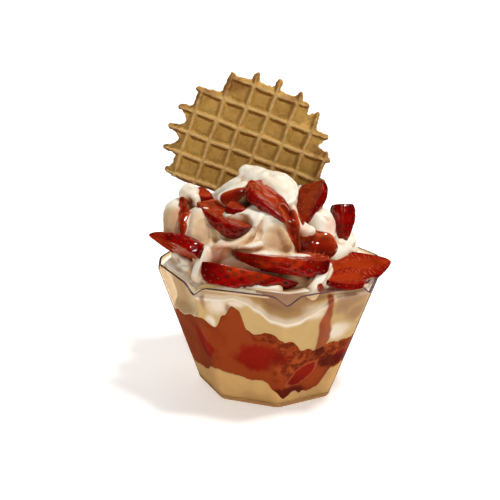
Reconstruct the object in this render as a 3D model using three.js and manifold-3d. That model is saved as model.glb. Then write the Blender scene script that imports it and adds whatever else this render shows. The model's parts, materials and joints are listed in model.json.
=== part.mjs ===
// A strawberry ice cream sundae in a clear eight-sided plastic cup. From the floor of the cup up there are a
// layer of ice cream, a layer of crushed strawberries that shows all round the wall, and soft cream piled in
// swirls above the rim. Sliced strawberries lie on the cream, and a round wafer waffle stands in it, cut
// straight along one rib.
//
// Millimetres, +Z up, +X to the right of the front view and +Y away from it. The origin is the centre of the
// flat underside of the cup.
import * as THREE from "three";
import Module from "manifold-3d";
import { mergeVertices } from "three/addons/utils/BufferGeometryUtils.js";

// Cup
const SIDES = 8;
const CUP_HEIGHT = 54;
const RIM_RADIUS = 50; // from the axis to a corner of the rim
const BASE_RADIUS = 31; // the same at the underside
const CUP_TURN = 7.3; // degrees from +X to the nearest corner
const WALL = 1;
const FLOOR = 1.4;
const NOTCH_DEPTH = 4.2; // the V in the rim at each corner
const NOTCH_HALF_WIDTH = 5;

// Layers. Each list holds heights at the wall against turns in degrees about the cup's axis, -90 at the front
const COLUMNS_PER_SIDE = 7;
const RING_SHARES = [0.45, 0.85];
const STRAWBERRY_UNDERSIDE = [
  [-168, 8.7], [-148, 10.6], [-127, 16], [-116, 14.3], [-101, 12.6], [-93, 13], [-86, 8.5], [-79, 4.6],
  [-72, 6.8], [-59, 5.9], [-50, 7.5], [-43, 16], [-33, 17], [-10, 11], [30, 9], [70, 14], [110, 10],
  [150, 13],
];
const STRAWBERRY_TOP = [
  [-157, 34.3], [-136, 38.4], [-127, 39.7], [-121, 36.6], [-115, 42.5], [-110, 47], [-106.5, 45.5],
  [-103, 37], [-99, 35.4], [-92, 36.9], [-81, 33.4], [-70, 28.3], [-61, 26.8], [-48, 29.1], [-20, 31],
  [10, 35], [45, 30], [80, 34], [115, 29], [150, 33], [180, 33],
];
const CREAM_EDGE = [
  [-150, 50], [-125, 49], [-116, 49.2], [-109, 50.5], [-102, 49.3], [-97, 46.7], [-89, 42.6], [-81, 41.4],
  [-76, 41.6], [-70, 43.5], [-62, 46.5], [-55, 50], [-40, 50], [0, 51], [60, 51.5], [120, 51],
  [180, 51],
];
const LEVEL_FALL = 3; // how fast a wavy boundary evens out inwards, as a power of the share of the radius
const MOUND_TOP = 76;
const MOUND_DROP = 26; // from the middle of the mound to the wall
const MOUND_POWER = 1.6;

// Swirls of cream: x, y, z and radius at each point of the middle line
const LOBE_SIDES = 8;
const LOBE_STEPS_PER_POINT = 2;
const CREAM_LOBES = [
  // the peak, its left slope and the round flap that turns over to the right
  [[-31, 6, 72.5, 5.5], [-24, 4, 75.5, 6], [-17, 2, 79.5, 7], [-8, -2, 85, 8]],
  [[-8, -2, 85.5, 8], [-2, -5, 85, 8], [2, -7, 84.5, 7.3], [3, -12, 77, 6.5]],
  [[-9, 0, 84, 7], [-7, 2, 75, 9], [-4, 3, 66, 10]],
  // the tall lobe at the left and the round one in front of it
  [[-38, -1, 79, 5.5], [-38, -4, 74, 7.5], [-36, -9, 67, 8], [-33, -13, 60, 8]],
  [[-27, -13, 73, 6.5], [-28, -17, 69, 8], [-27, -22, 62, 8]],
  // the long ribbon that climbs to the right, and the fold below it
  [[-30, -24, 62, 5], [-22, -28, 64, 5], [-15, -29, 66, 4.5], [-9, -26, 69.5, 4.5], [-5, -20, 74, 5]],
  [[-9, -26, 69.5, 4], [-5, -20, 74, 5], [-3, -14, 78, 6]],
  [[-20, -29, 60, 5], [-8, -31, 62, 5.5], [6, -31, 62.5, 5.5], [16, -28, 62, 5.5]],
  [[-2, -15, 77, 7], [1, -21, 70, 7], [2, -27, 62, 7]],
  // the right shoulder and the small blobs beside it
  [[9, -1, 76, 7], [17, -4, 72.5, 6.8], [19, -9, 66, 6.5], [21, -14, 59, 7]],
  [[31, -3, 61.5, 3.8], [28, -7, 60, 5], [20, -16, 58, 6]],
  [[12, -20, 68, 3.6], [11, -14, 68, 5]],
  // along the rim from the left to the right
  [[-39, -8, 53, 6], [-35, -18, 51, 8], [-28, -27, 49, 8], [-18, -32, 48, 8]],
  [[-24.5, -30, 65, 3], [-26.5, -33, 60, 3.2], [-28, -33.5, 54, 3.5]],
  [[-28, -32, 49, 5], [-14, -38, 50, 5.5], [0, -39, 49, 5.5]],
  [[6, -28, 61, 5], [9, -31, 56, 5.5], [9.5, -34, 50, 5]],
  [[21.5, -32, 61.5, 2.6], [19, -36, 58, 3.2], [16, -38.5, 55, 3.4], [13.5, -39.5, 51, 3.4]],
  [[18, -31, 48, 6], [29, -20, 49, 6], [35, -5, 49, 6]],
  // behind, where the swirl goes round the waffle
  [[-36, 5, 62, 8], [-33, 17, 61, 9], [-23, 28, 61, 9], [-10, 33, 62, 9]],
  [[-12, 33, 62, 9], [5, 33, 62, 9], [18, 26, 61, 8.5], [28, 15, 58, 8], [33, 4, 55, 6]],
  [[-21, 28, 70, 6.5], [-8, 31, 73, 7.5], [6, 28, 74, 7.5], [14, 16, 75, 8], [12, 4, 78, 7]],
];
// Thick sauce that has run down the cream, as points of the same kind
const SAUCE_RUNS = [
  [[-38.5, -5, 82.5, 2], [-36, -12, 75, 2.2], [-33.5, -17, 67.5, 2]],
  [[6, -20, 79, 2], [8, -25.5, 74, 2.4], [10, -30, 68.5, 2.4]],
];

// Waffle
const WAFFLE_CENTRE = [-12.5, 20, 94.4];
const WAFFLE_RADIUS = 36.5; // to the tips of the ribs
const EDGE_RIB = { beyond: 27, share: 0.84 }; // a rib this far out is cut short
const WEB_RADIUS = 31.8;
const WEB_THICKNESS = 1.7;
const WAFFLE_THICKNESS = 5.6;
const RIB_CREST_WIDTH = 1.4;
const RIB_FOOT_WIDTH = 3.6;
const CELL = [9.9, 9.5]; // along the falling ribs and across them
const RISING_OFFSET = 2.4; // from the centre to the nearest rising rib
const FALLING_OFFSET = 1.5; // the same to the nearest falling rib
const CUT_BELOW_CENTRE = 19.2;
const LATTICE_TURN = -19.4;
const FORWARD_LEAN = 3;

// Strawberries
const BERRY_SIDES = 14;
const BERRY_STEPS = 8;
const END_POWER = 0.6;
// Each slice: the places of its stem end and its tip, which way its cut face looks, the fruit's radius, and
// its two cuts, as distances from the fruit's axis towards that face, where a cut beyond the radius leaves
// skin. Some also have the share that is cut off at the stem, and the power that rounds the ends, less for
// fuller ends.
const SLICES = {
  half_left: [[-26, -31, 59.5], [-50, -15.5, 67], [-0.1, -0.7, -0.7], 8, [-6.5, 0]],
  half_upper_left: [[-6.5, -24, 74.5], [-30.5, -12.5, 80.5], [0.15, -0.1, 0.98], 10, [-6.2, 0.3]],
  piece_at_waffle: [[-33, -3, 82.5], [-24.5, -7, 80.5], [0, -0.3, 0.95], 3.8, [-2.6, 1.6]],
  piece_small: [[-18.2, -18, 80], [-9.7, -21, 78.4], [0.15, -0.2, 0.96], 3.8, [-1.2, 1.8]],
  half_top: [[-7.5, -12, 89.6], [9.3, -28.5, 75], [0.55, -0.4, 0.73], 7.4, [-7.4, 0.5]],
  half_upright: [[15.3, 0.5, 87.2], [11.6, -10.5, 71], [-0.75, -0.6, 0.2], 7.6, [-7.6, 0], 0.07],
  half_far_right: [[29, 3, 77.5], [29.8, -2.5, 62], [0.1, 0.95, -0.3], 5.3, [-5.3, -0.4], 0.07],
  chunk_sauced: [[9.5, -15, 67.3], [26, -16.4, 64.3], [0, -0.4, 0.9], 6.5, [-3, 3]],
  half_front_upper: [[21.8, -32.5, 64.8], [-15.5, -32, 66.7], [0.02, 0.13, 0.99], 9.6, [-7.3, -0.3], 0, 0.42],
  half_front_lower: [[-26.3, -35.8, 62.4], [13, -36.4, 55.1], [0.17, 0.42, 0.89], 8.4, [-7.6, -0.2]],
  slice_right: [[21, -25, 58.4], [48.6, -8, 57], [0.12, -0.3, 0.95], 10.5, [-3, 0.3]],
  slice_right_front: [[34, -31.5, 57.2], [20, -38.2, 56.6], [0, -0.35, 0.93], 5.5, [-1.4, 1.2]],
  slice_back_left: [[-43, 8, 64], [-26, 32, 70], [-0.5, 0.3, 0.8], 9, [-1, 3]],
  half_back: [[-6, 41, 66], [18, 34, 68], [0.1, 0.5, 0.85], 11, [-10, -1]],
  slice_back_right: [[31, 14, 60], [17, 31, 65], [0.5, 0.5, 0.7], 9, [-2, 2]],
};

const GAP = 0.3; // between pieces that touch
const LAYER_LIFT = 0.7; // from one layer up to the next, more than the gap because the boundaries are steep

const COLOURS = {
  cup: 0xe8d9c4,
  cream: 0xf0e8de,
  ice_cream: 0xe2cda6,
  strawberry: 0x9c2f1c,
  slice: 0xa8241a,
  waffle: 0xc79a55,
};

const radians = THREE.MathUtils.degToRad;
const wasm = await Module();
wasm.setup();

// A closed solid of a geometry whose shared vertices may be doubled.
function solidOf(geometry) {
  const bare = new THREE.BufferGeometry();
  bare.setAttribute("position", geometry.getAttribute("position"));
  if (geometry.index) bare.setIndex(geometry.index);
  const merged = mergeVertices(bare, 1e-4);
  return new wasm.Manifold(
    new wasm.Mesh({
      numProp: 3,
      vertProperties: merged.attributes.position.array,
      triVerts: new Uint32Array(merged.index.array),
    }),
  );
}

// The geometry of a solid, kept to its largest body.
function geometryOf(solid) {
  const [largest] = solid.decompose().sort((a, b) => b.volume() - a.volume());
  const mesh = largest.getMesh();
  const geometry = new THREE.BufferGeometry();
  geometry.setAttribute("position", new THREE.BufferAttribute(mesh.vertProperties, 3));
  geometry.setIndex(new THREE.BufferAttribute(mesh.triVerts, 1));
  geometry.computeVertexNormals();
  return geometry;
}

const distance = (a, b) => Math.hypot(a[0] - b[0], a[1] - b[1], a[2] - b[2]);

// A closed geometry through rings of equal length, in order from one pole to the other. Each four-sided field
// is split along its shorter diagonal, so that two surfaces of one shape are split alike.
function ringGeometry(firstPole, rings, lastPole) {
  const count = rings[0].length;
  const points = [firstPole, ...rings.flat(), lastPole];
  const index = [];
  const at = (ring, column) => 1 + ring * count + (column % count);
  for (let column = 0; column < count; column++) {
    index.push(0, at(0, column + 1), at(0, column));
    for (let ring = 0; ring + 1 < rings.length; ring++) {
      const [a, b] = [at(ring, column), at(ring, column + 1)];
      const [c, d] = [at(ring + 1, column + 1), at(ring + 1, column)];
      if (distance(points[a], points[c]) < distance(points[b], points[d])) index.push(a, b, c, a, c, d);
      else index.push(a, b, d, b, c, d);
    }
    index.push(at(rings.length - 1, column), at(rings.length - 1, column + 1), points.length - 1);
  }
  const geometry = new THREE.BufferGeometry();
  geometry.setAttribute("position", new THREE.BufferAttribute(new Float32Array(points.flat()), 3));
  geometry.setIndex(index);
  return geometry;
}

// Degrees from the nearest corner of the cup, between -22.5 and 22.5.
function fromCorner(turn) {
  const side = 360 / SIDES;
  const within = (((turn - CUP_TURN) % side) + side) % side;
  return within > side / 2 ? within - side : within;
}

// Distance from the axis to the wall's plane, moved in by inset, at a turn and a height.
function wallRadius(turn, z, inset) {
  const half = 180 / SIDES;
  const corner = BASE_RADIUS + ((RIM_RADIUS - BASE_RADIUS) * z) / CUP_HEIGHT;
  const apothem = corner * Math.cos(radians(half)) - inset;
  return apothem / Math.cos(radians(half - Math.abs(fromCorner(turn))));
}

// The height of the rim at a turn, with the V at each corner.
function rimHeight(turn) {
  const away = RIM_RADIUS * Math.sin(radians(Math.abs(fromCorner(turn))));
  return CUP_HEIGHT - NOTCH_DEPTH * Math.max(0, 1 - away / NOTCH_HALF_WIDTH);
}

function onWall(turn, z, inset, share = 1) {
  const radius = share * wallRadius(turn, z, inset);
  return [radius * Math.cos(radians(turn)), radius * Math.sin(radians(turn)), z];
}

// The cup, or the space it takes with a margin all round.
function cupGeometry(margin = 0) {
  const shoulder = THREE.MathUtils.radToDeg(Math.asin(NOTCH_HALF_WIDTH / RIM_RADIUS));
  const turns = [];
  for (let side = 0; side < SIDES; side++)
    for (const step of [-1, -0.5, 0, 0.5, 1]) turns.push(CUP_TURN + (360 / SIDES) * side + step * shoulder);
  const ring = (height, inset) => turns.map((turn) => onWall(turn, height(turn), inset));
  return ringGeometry(
    [0, 0, -margin],
    [
      ring(() => -margin, -margin),
      ring((turn) => rimHeight(turn) + margin, -margin),
      ring((turn) => rimHeight(turn) + margin, WALL + margin),
      ring(() => FLOOR + margin, WALL + margin),
    ],
    [0, 0, FLOOR + margin],
  );
}

// The height in a list of [turn, height] at any turn, eased between the two nearest entries.
function heightAt(list, turn) {
  const wrapped = (value) => ((value % 360) + 360) % 360;
  const before = list.reduce((a, b) => (wrapped(turn - b[0]) < wrapped(turn - a[0]) ? b : a));
  const after = list.reduce((a, b) => (wrapped(b[0] - turn) < wrapped(a[0] - turn) ? b : a));
  const span = wrapped(after[0] - before[0]);
  const share = span ? THREE.MathUtils.smoothstep(wrapped(turn - before[0]) / span, 0, 1) : 0;
  return THREE.MathUtils.lerp(before[1], after[1], share);
}

// A boundary between two layers: as its list says at the wall, and at its mean height in the middle.
function boundary(list, lift = 0) {
  const mean = list.reduce((sum, entry) => sum + entry[1], 0) / list.length;
  return (turn, share) => lift + mean + (heightAt(list, turn) - mean) * share ** LEVEL_FALL;
}

function moundSurface(turn, share) {
  const mound = MOUND_TOP - MOUND_DROP * share ** MOUND_POWER;
  return THREE.MathUtils.lerp(mound, heightAt(CREAM_EDGE, turn), share ** 16);
}

// A layer that fills the cup between two surfaces, each a height for a turn and a share of the radius.
function layerGeometry(underside, top) {
  const columns = SIDES * COLUMNS_PER_SIDE;
  const turns = Array.from({ length: columns }, (_, i) => CUP_TURN + (360 * i) / columns);
  const ring = (surface, share) =>
    turns.map((turn) => onWall(turn, surface(turn, share), WALL + GAP, share));
  return ringGeometry(
    [0, 0, underside(0, 0)],
    [
      ...RING_SHARES.map((share) => ring(underside, share)),
      ring(underside, 1),
      ring(top, 1),
      ...RING_SHARES.toReversed().map((share) => ring(top, share)),
    ],
    [0, 0, top(0, 0)],
  );
}

// A round-ended tube along a smooth line through points of x, y, z and radius.
function lobeSolid(points, grow = 0) {
  const steps = (points.length - 1) * LOBE_STEPS_PER_POINT + 2;
  const line = new THREE.CatmullRomCurve3(points.map(([x, y, z]) => new THREE.Vector3(x, y, z)));
  const frames = line.computeFrenetFrames(steps, false);
  const length = line.getLength();
  const rings = [];
  for (let i = 0; i <= steps; i++) {
    const share = i / steps;
    const place = share * (points.length - 1);
    const first = Math.min(Math.floor(place), points.length - 2);
    const radius = THREE.MathUtils.lerp(points[first][3], points[first + 1][3], place - first);
    const fromEnd = Math.min(share, 1 - share) * length + radius / 5;
    const round = Math.sqrt(1 - Math.max(0, 1 - fromEnd / radius) ** 2);
    const centre = line.getPoint(share);
    const ring = [];
    for (let side = 0; side < LOBE_SIDES; side++) {
      const angle = (2 * Math.PI * side) / LOBE_SIDES;
      const spot = centre
        .clone()
        .addScaledVector(frames.normals[i], (radius * round + grow) * Math.cos(angle))
        .addScaledVector(frames.binormals[i], (radius * round + grow) * Math.sin(angle));
      ring.push(spot.toArray());
    }
    rings.push(ring);
  }
  const pole = (at, way) => {
    const tangent = line.getTangent(at);
    const reach = points[at ? points.length - 1 : 0][3] / 5 + grow;
    return line.getPoint(at).addScaledVector(tangent, way * reach).toArray();
  };
  return solidOf(ringGeometry(pole(0, -1), rings, pole(1, 1)));
}

// The lengthwise slice of a strawberry between its two cuts, in place, with a margin all round.
function sliceSolid([stem, tip, face, radius, cuts, cutOff = 0, power = END_POWER], margin = 0) {
  const [start, end] = [new THREE.Vector3(...stem), new THREE.Vector3(...tip)];
  const length = start.distanceTo(end);
  const profile = [new THREE.Vector2(0, -margin)];
  for (let i = cutOff ? 0 : 1; i <= BERRY_STEPS; i++) {
    const share = (1 - Math.cos((Math.PI * i) / BERRY_STEPS)) / 2;
    const ofFruit = cutOff + (1 - cutOff) * share;
    const half = (radius + margin) * Math.sin(Math.PI * ofFruit ** 0.5) ** power;
    profile.push(new THREE.Vector2(i < BERRY_STEPS ? half : 0, share * (length + 2 * margin) - margin));
  }
  const fruit = solidOf(new THREE.LatheGeometry(profile, BERRY_SIDES));
  const [from, to] = [cuts[0] - margin, cuts[1] + margin];
  const slab = new THREE.BoxGeometry(4 * radius, 4 * length, to - from).translate(0, 0, (from + to) / 2);
  const along = end.clone().sub(start).normalize();
  const across = new THREE.Vector3().crossVectors(along, new THREE.Vector3(...face)).normalize();
  const out = new THREE.Vector3().crossVectors(across, along);
  const place = new THREE.Matrix4().makeBasis(across, along, out).setPosition(start);
  const slice = fruit.intersect(solidOf(slab)).transform(place.toArray());
  return margin ? slice : slice.subtract(solidOf(cupGeometry(GAP)));
}

// Moves a shape from the waffle's own plane, x along the falling ribs and y up across them, to its place.
function wafflePlace() {
  const stand = new THREE.Matrix4().makeRotationX(radians(90 + FORWARD_LEAN)).setPosition(...WAFFLE_CENTRE);
  return stand.multiply(new THREE.Matrix4().makeRotationZ(radians(LATTICE_TURN)));
}

// The ribs: the distance of each from the centre, its direction and half its length.
function ribs() {
  const list = [];
  for (let i = -2; i <= 3; i++) list.push({ offset: FALLING_OFFSET + i * CELL[1], falling: true });
  for (let i = -3; i <= 3; i++) list.push({ offset: RISING_OFFSET + i * CELL[0], falling: false });
  const share = (offset) => (Math.abs(offset) > EDGE_RIB.beyond ? EDGE_RIB.share : 1);
  const reach = (offset) => share(offset) * Math.sqrt(WAFFLE_RADIUS ** 2 - offset ** 2);
  return list.map((rib) => ({ ...rib, reach: reach(rib.offset) }));
}

// The web's edge: a circle drawn out towards the end of every rib.
function webOutline() {
  const ends = ribs().flatMap(({ offset, falling, reach }) =>
    [-reach, reach].map((end) => (falling ? Math.atan2(offset, end) : Math.atan2(end, offset))),
  );
  const points = [];
  const count = 78;
  for (let i = 0; i < count; i++) {
    const angle = (2 * Math.PI * i) / count;
    const nearest = Math.min(...ends.map((end) => Math.acos(Math.cos(end - angle))));
    const drawn = Math.max(0, 1 - (nearest * WAFFLE_RADIUS) / 4.5) ** 1.5;
    const radius = WEB_RADIUS + (WAFFLE_RADIUS - 0.8 - WEB_RADIUS) * drawn;
    points.push(new THREE.Vector2(radius * Math.cos(angle), radius * Math.sin(angle)));
  }
  return new THREE.Shape(points);
}

// A plate cut straight along the lowest rib, with a margin below the cut.
function plateSolid(outline, thickness, margin) {
  const settings = { depth: thickness, bevelEnabled: false, curveSegments: 20 };
  const plate = new THREE.ExtrudeGeometry(outline, settings);
  plate.translate(0, 0, -thickness / 2);
  const width = 3 * WAFFLE_RADIUS;
  const below = new THREE.BoxGeometry(width, width, width);
  below.translate(0, -CUT_BELOW_CENTRE - margin - width / 2, 0);
  return solidOf(plate).subtract(solidOf(below));
}

// One rib, tapered on both faces, centred on the waffle's centre and lying along its own line.
function ribSolid({ offset, falling, reach }) {
  const [crest, foot] = [RIB_CREST_WIDTH / 2, RIB_FOOT_WIDTH / 2];
  const [high, low] = [WAFFLE_THICKNESS / 2, WEB_THICKNESS / 2];
  const quarter = [[crest, high], [foot, low]];
  const corners = [
    ...quarter,
    ...quarter.toReversed().map(([x, y]) => [x, -y]),
    ...quarter.map(([x, y]) => [-x, -y]),
    ...quarter.toReversed().map(([x, y]) => [-x, y]),
  ];
  const section = new THREE.Shape(corners.map(([x, y]) => new THREE.Vector2(x, y)));
  const start = falling ? -reach : Math.max(-reach, -CUT_BELOW_CENTRE);
  const prism = new THREE.ExtrudeGeometry(section, { depth: reach - start, bevelEnabled: false, steps: 1 });
  prism.translate(0, 0, start);
  prism.rotateX(-Math.PI / 2); // the length now lies along y and the thickness along z
  prism.translate(falling ? -offset : offset, 0, 0);
  if (falling) prism.rotateZ(-Math.PI / 2);
  return solidOf(prism);
}

function waffleSolid() {
  const web = plateSolid(webOutline(), WEB_THICKNESS, 0);
  const whole = ribs().reduce((sum, rib) => sum.add(ribSolid(rib)), web);
  return whole.transform(wafflePlace().toArray());
}

// The pocket that the waffle takes in the cream.
function wafflePocket() {
  const outline = new THREE.Shape().absarc(0, 0, WAFFLE_RADIUS + 2, 0, 2 * Math.PI);
  const pocket = plateSolid(outline, WAFFLE_THICKNESS + 2 * GAP, GAP + RIB_FOOT_WIDTH / 2);
  return pocket.transform(wafflePlace().toArray());
}

// The upper cream: the mound in the cup, its swirls and the runs of sauce, cut clear of what lies on it.
function creamSolid() {
  let cream = solidOf(layerGeometry(boundary(STRAWBERRY_TOP, LAYER_LIFT), moundSurface));
  for (const points of [...CREAM_LOBES, ...SAUCE_RUNS]) cream = cream.add(lobeSolid(points));
  for (const slice of Object.values(SLICES)) cream = cream.subtract(sliceSolid(slice, GAP));
  const below = layerGeometry(boundary(STRAWBERRY_UNDERSIDE), boundary(STRAWBERRY_TOP, 0.9 * LAYER_LIFT));
  return cream.subtract(wafflePocket()).subtract(solidOf(cupGeometry(GAP))).subtract(solidOf(below));
}

function piece(name, geometry, color, roughness, settings = {}) {
  const material = new THREE.MeshStandardMaterial({ color, roughness, metalness: 0, ...settings });
  const mesh = new THREE.Mesh(geometry, material);
  mesh.name = name;
  return mesh;
}

const floorSurface = () => FLOOR + GAP;
const sundae = new THREE.Group();
sundae.add(
  piece("cup", cupGeometry(), COLOURS.cup, 0.1, { transparent: true, opacity: 0.35 }),
  piece(
    "ice_cream_base",
    geometryOf(solidOf(layerGeometry(floorSurface, boundary(STRAWBERRY_UNDERSIDE)))),
    COLOURS.ice_cream,
    0.5,
  ),
  piece(
    "strawberry_layer",
    geometryOf(solidOf(layerGeometry(boundary(STRAWBERRY_UNDERSIDE, LAYER_LIFT), boundary(STRAWBERRY_TOP)))),
    COLOURS.strawberry,
    0.4,
  ),
  piece("cream_top", geometryOf(creamSolid()), COLOURS.cream, 0.45),
  piece("waffle", geometryOf(waffleSolid()), COLOURS.waffle, 0.7),
);
for (const [name, slice] of Object.entries(SLICES))
  sundae.add(piece(name, geometryOf(sliceSolid(slice)), COLOURS.slice, 0.25));

export default sundae;
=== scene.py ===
"""A strawberry ice cream sundae in a clear eight-sided cup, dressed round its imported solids.

It is laid out as a Blender add-on and run as a script. Lengths in the lists are millimetres in the part's own
frame: +X to the right of the front view, +Y away from it, +Z up from the cup's flat underside.
"""

import json

import bmesh
import bpy
import numpy as np
from bpy.props import FloatProperty, FloatVectorProperty, IntProperty, PointerProperty
from mathutils import Matrix, Vector

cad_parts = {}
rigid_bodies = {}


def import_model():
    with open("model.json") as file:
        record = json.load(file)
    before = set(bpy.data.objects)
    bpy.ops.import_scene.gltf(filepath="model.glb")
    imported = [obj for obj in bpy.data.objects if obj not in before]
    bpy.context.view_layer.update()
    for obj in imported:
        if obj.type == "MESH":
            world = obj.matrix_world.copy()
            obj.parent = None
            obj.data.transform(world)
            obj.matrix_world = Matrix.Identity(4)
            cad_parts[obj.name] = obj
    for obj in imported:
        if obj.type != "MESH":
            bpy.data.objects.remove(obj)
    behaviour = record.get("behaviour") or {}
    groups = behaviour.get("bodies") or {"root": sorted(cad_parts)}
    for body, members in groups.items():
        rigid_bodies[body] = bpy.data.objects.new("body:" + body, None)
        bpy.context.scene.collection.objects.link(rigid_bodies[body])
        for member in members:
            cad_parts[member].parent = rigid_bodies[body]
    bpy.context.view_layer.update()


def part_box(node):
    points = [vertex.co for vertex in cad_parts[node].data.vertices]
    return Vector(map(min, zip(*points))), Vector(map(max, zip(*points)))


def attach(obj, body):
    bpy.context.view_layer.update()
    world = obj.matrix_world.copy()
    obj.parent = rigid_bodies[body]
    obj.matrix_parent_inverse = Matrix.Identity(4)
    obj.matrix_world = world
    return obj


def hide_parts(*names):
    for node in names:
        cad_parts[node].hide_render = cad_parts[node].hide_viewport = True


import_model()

bl_info = {
    "name": "Strawberry sundae",
    "version": (1, 0, 0),
    "blender": (4, 5, 0),
    "location": "3D View > Sidebar > Sundae",
    "description": "Makes a strawberry ice cream sundae in a clear cup",
    "category": "Add Mesh",
}

MM = 0.001
SIDES = 8
CUP_TURN = 7.3  # degrees from +X to the nearest corner of the cup
CUP_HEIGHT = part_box("cup")[1].z / MM
RIM_RADIUS = 50.0  # from the axis to a corner of the rim
BASE_RADIUS = 31.0

# Heights at the wall against turns in degrees about the cup's axis, -90 at the front
STRAWBERRY_UNDERSIDE = [
    (-168, 8.7), (-148, 10.6), (-127, 16), (-116, 14.3), (-101, 12.6), (-93, 13), (-86, 8.5), (-79, 4.6),
    (-72, 6.8), (-59, 5.9), (-50, 7.5), (-43, 16), (-33, 17), (-10, 11), (30, 9), (70, 14), (110, 10),
    (150, 13),
]
STRAWBERRY_TOP = [
    (-157, 34.3), (-136, 38.4), (-127, 39.7), (-121, 36.6), (-115, 42.5), (-110, 47), (-106.5, 45.5),
    (-103, 37), (-99, 35.4), (-92, 36.9), (-81, 33.4), (-70, 28.3), (-61, 26.8), (-48, 29.1), (-20, 31),
    (10, 35), (45, 30), (80, 34), (115, 29), (150, 33), (180, 33),
]
CREAM_EDGE = [
    (-150, 50), (-125, 49), (-116, 49.2), (-109, 50.5), (-102, 49.3), (-97, 46.7), (-89, 42.6),
    (-81, 41.4), (-76, 41.6), (-70, 43.5), (-62, 46.5), (-55, 50), (-40, 50), (0, 51), (60, 51.5),
    (120, 51), (180, 51),
]
# Where the cream that touches the wall ends: near the rim in front, below it elsewhere
CREAM_TOP = [
    (-172, 51), (-160, 52.6), (-150, 53.4), (-127, 53.4), (-122, 54.6), (-100, 55), (-72, 54.6), (-64, 53),
    (-50, 52.5), (-25, 52), (0, 52), (60, 52.5), (120, 52), (180, 52),
]

# Swirls of cream: x, y, z and radius at each point of the middle line
CREAM_LOBES = [
    # the peak, its left slope and the round flap that turns over to the right
    [(-31, 6, 72.5, 5.5), (-24, 4, 75.5, 6), (-17, 2, 79.5, 7), (-8, -2, 85, 8)],
    [(-8, -2, 85.5, 8), (-2, -5, 85, 8), (2, -7, 84.5, 7.3), (3, -12, 77, 6.5)],
    [(-9, 0, 84, 7), (-7, 2, 75, 9), (-4, 3, 66, 10)],
    [(-10.6, -1.5, 86.8, 5.2), (-8.6, -2.6, 87.8, 5.6), (-6, -3.4, 88, 5.8), (-3, -4, 87, 5.8)],
    # the tall lobe at the left and the round one in front of it
    [(-37.4, -2, 79.5, 5.2), (-38, -4, 74, 7.5), (-36.4, -9, 67, 8.2), (-33, -13, 60, 8)],
    [(-37, -3, 80, 4.4), (-34.6, -4, 82.2, 3.8), (-31.6, -4, 80.6, 4)],
    [(-27.6, -11, 76.4, 5.6), (-28.4, -16, 72, 7.8), (-27.4, -22, 63, 8.2)],
    # the long ribbon that climbs to the right, and the fold below it
    [(-30, -24, 62, 5), (-22, -28, 64, 5), (-15, -29, 66, 4.5), (-9, -26, 69.5, 4.5), (-5, -20, 74, 5)],
    [(-9, -26, 69.5, 4), (-5, -20, 74, 5), (-3, -14, 78, 6)],
    [(-20, -29, 60, 5), (-8, -31, 62, 5.2), (6, -31, 60.6, 4.8), (16, -28, 59.6, 4.8)],
    [(-2, -15, 77, 7), (1, -21, 70, 7), (2, -27, 62, 7)],
    [(-12, -18.5, 76, 5), (-5, -21, 74, 6.4), (2, -22, 72.6, 7), (8, -20.5, 71, 7)],
    [(-7, -24, 68, 6), (2, -25, 67, 6.6), (9, -24, 66, 6)],
    [(-26, -17, 69.5, 7), (-19, -21.5, 69, 6.6), (-12, -22, 69.4, 6.4)],
    [(-19.5, -19.5, 77.6, 1.6), (-16, -22, 76, 2.2), (-12, -22, 76.4, 2.8), (-8, -20, 77.8, 3.4),
     (-4.4, -17, 79, 4)],
    [(-22.6, -9, 79.4, 3.6), (-17.6, -9, 81.6, 4), (-13.4, -8.6, 83.6, 4.2), (-9, -7, 85, 4.4)],
    # the right shoulder and the small blobs beside it
    [(13, 6, 68, 5), (18.6, -4, 72, 6.4), (19, -9, 66, 6.5), (21, -14, 59, 7)],
    [(31, -3, 61.5, 3.8), (28, -7, 60, 5), (20, -16, 58, 6)],
    [(10, -20, 72, 4.6), (11, -16, 69, 6)],
    # along the rim from the left to the right
    [(-39, -8, 53, 6), (-35, -18, 51, 8), (-28, -27, 49, 8), (-18, -32, 48, 8)],
    [(-24.5, -30, 65, 3), (-26.5, -33, 60, 3.2), (-28, -33.5, 54, 3.5)],
    [(-28, -32, 49, 5), (-14, -38, 50, 5.5), (0, -39, 49, 5.5)],
    [(6, -30, 60.4, 5), (9, -33.5, 56, 5.4), (10, -36, 50, 5)],
    [(21.5, -32, 61.5, 2.6), (19, -36, 58, 3.2), (16, -38.5, 55, 3.4), (13.5, -39.5, 51, 3.4)],
    [(18, -31, 48, 6), (29, -20, 49, 6), (35, -5, 49, 6)],
    # behind, where the swirl goes round the waffle
    [(-36, 5, 62, 8), (-33, 17, 61, 9), (-23, 28, 61, 9), (-10, 33, 62, 9)],
    [(-12, 33, 62, 9), (5, 33, 62, 9), (18, 26, 61, 8.5), (28, 15, 58, 8), (33, 4, 55, 6)],
    [(-21, 28, 70, 6.5), (-8, 31, 73, 7.5), (6, 28, 74, 7.5), (14, 17, 75, 8), (11, 9, 75, 6)],
]
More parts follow.
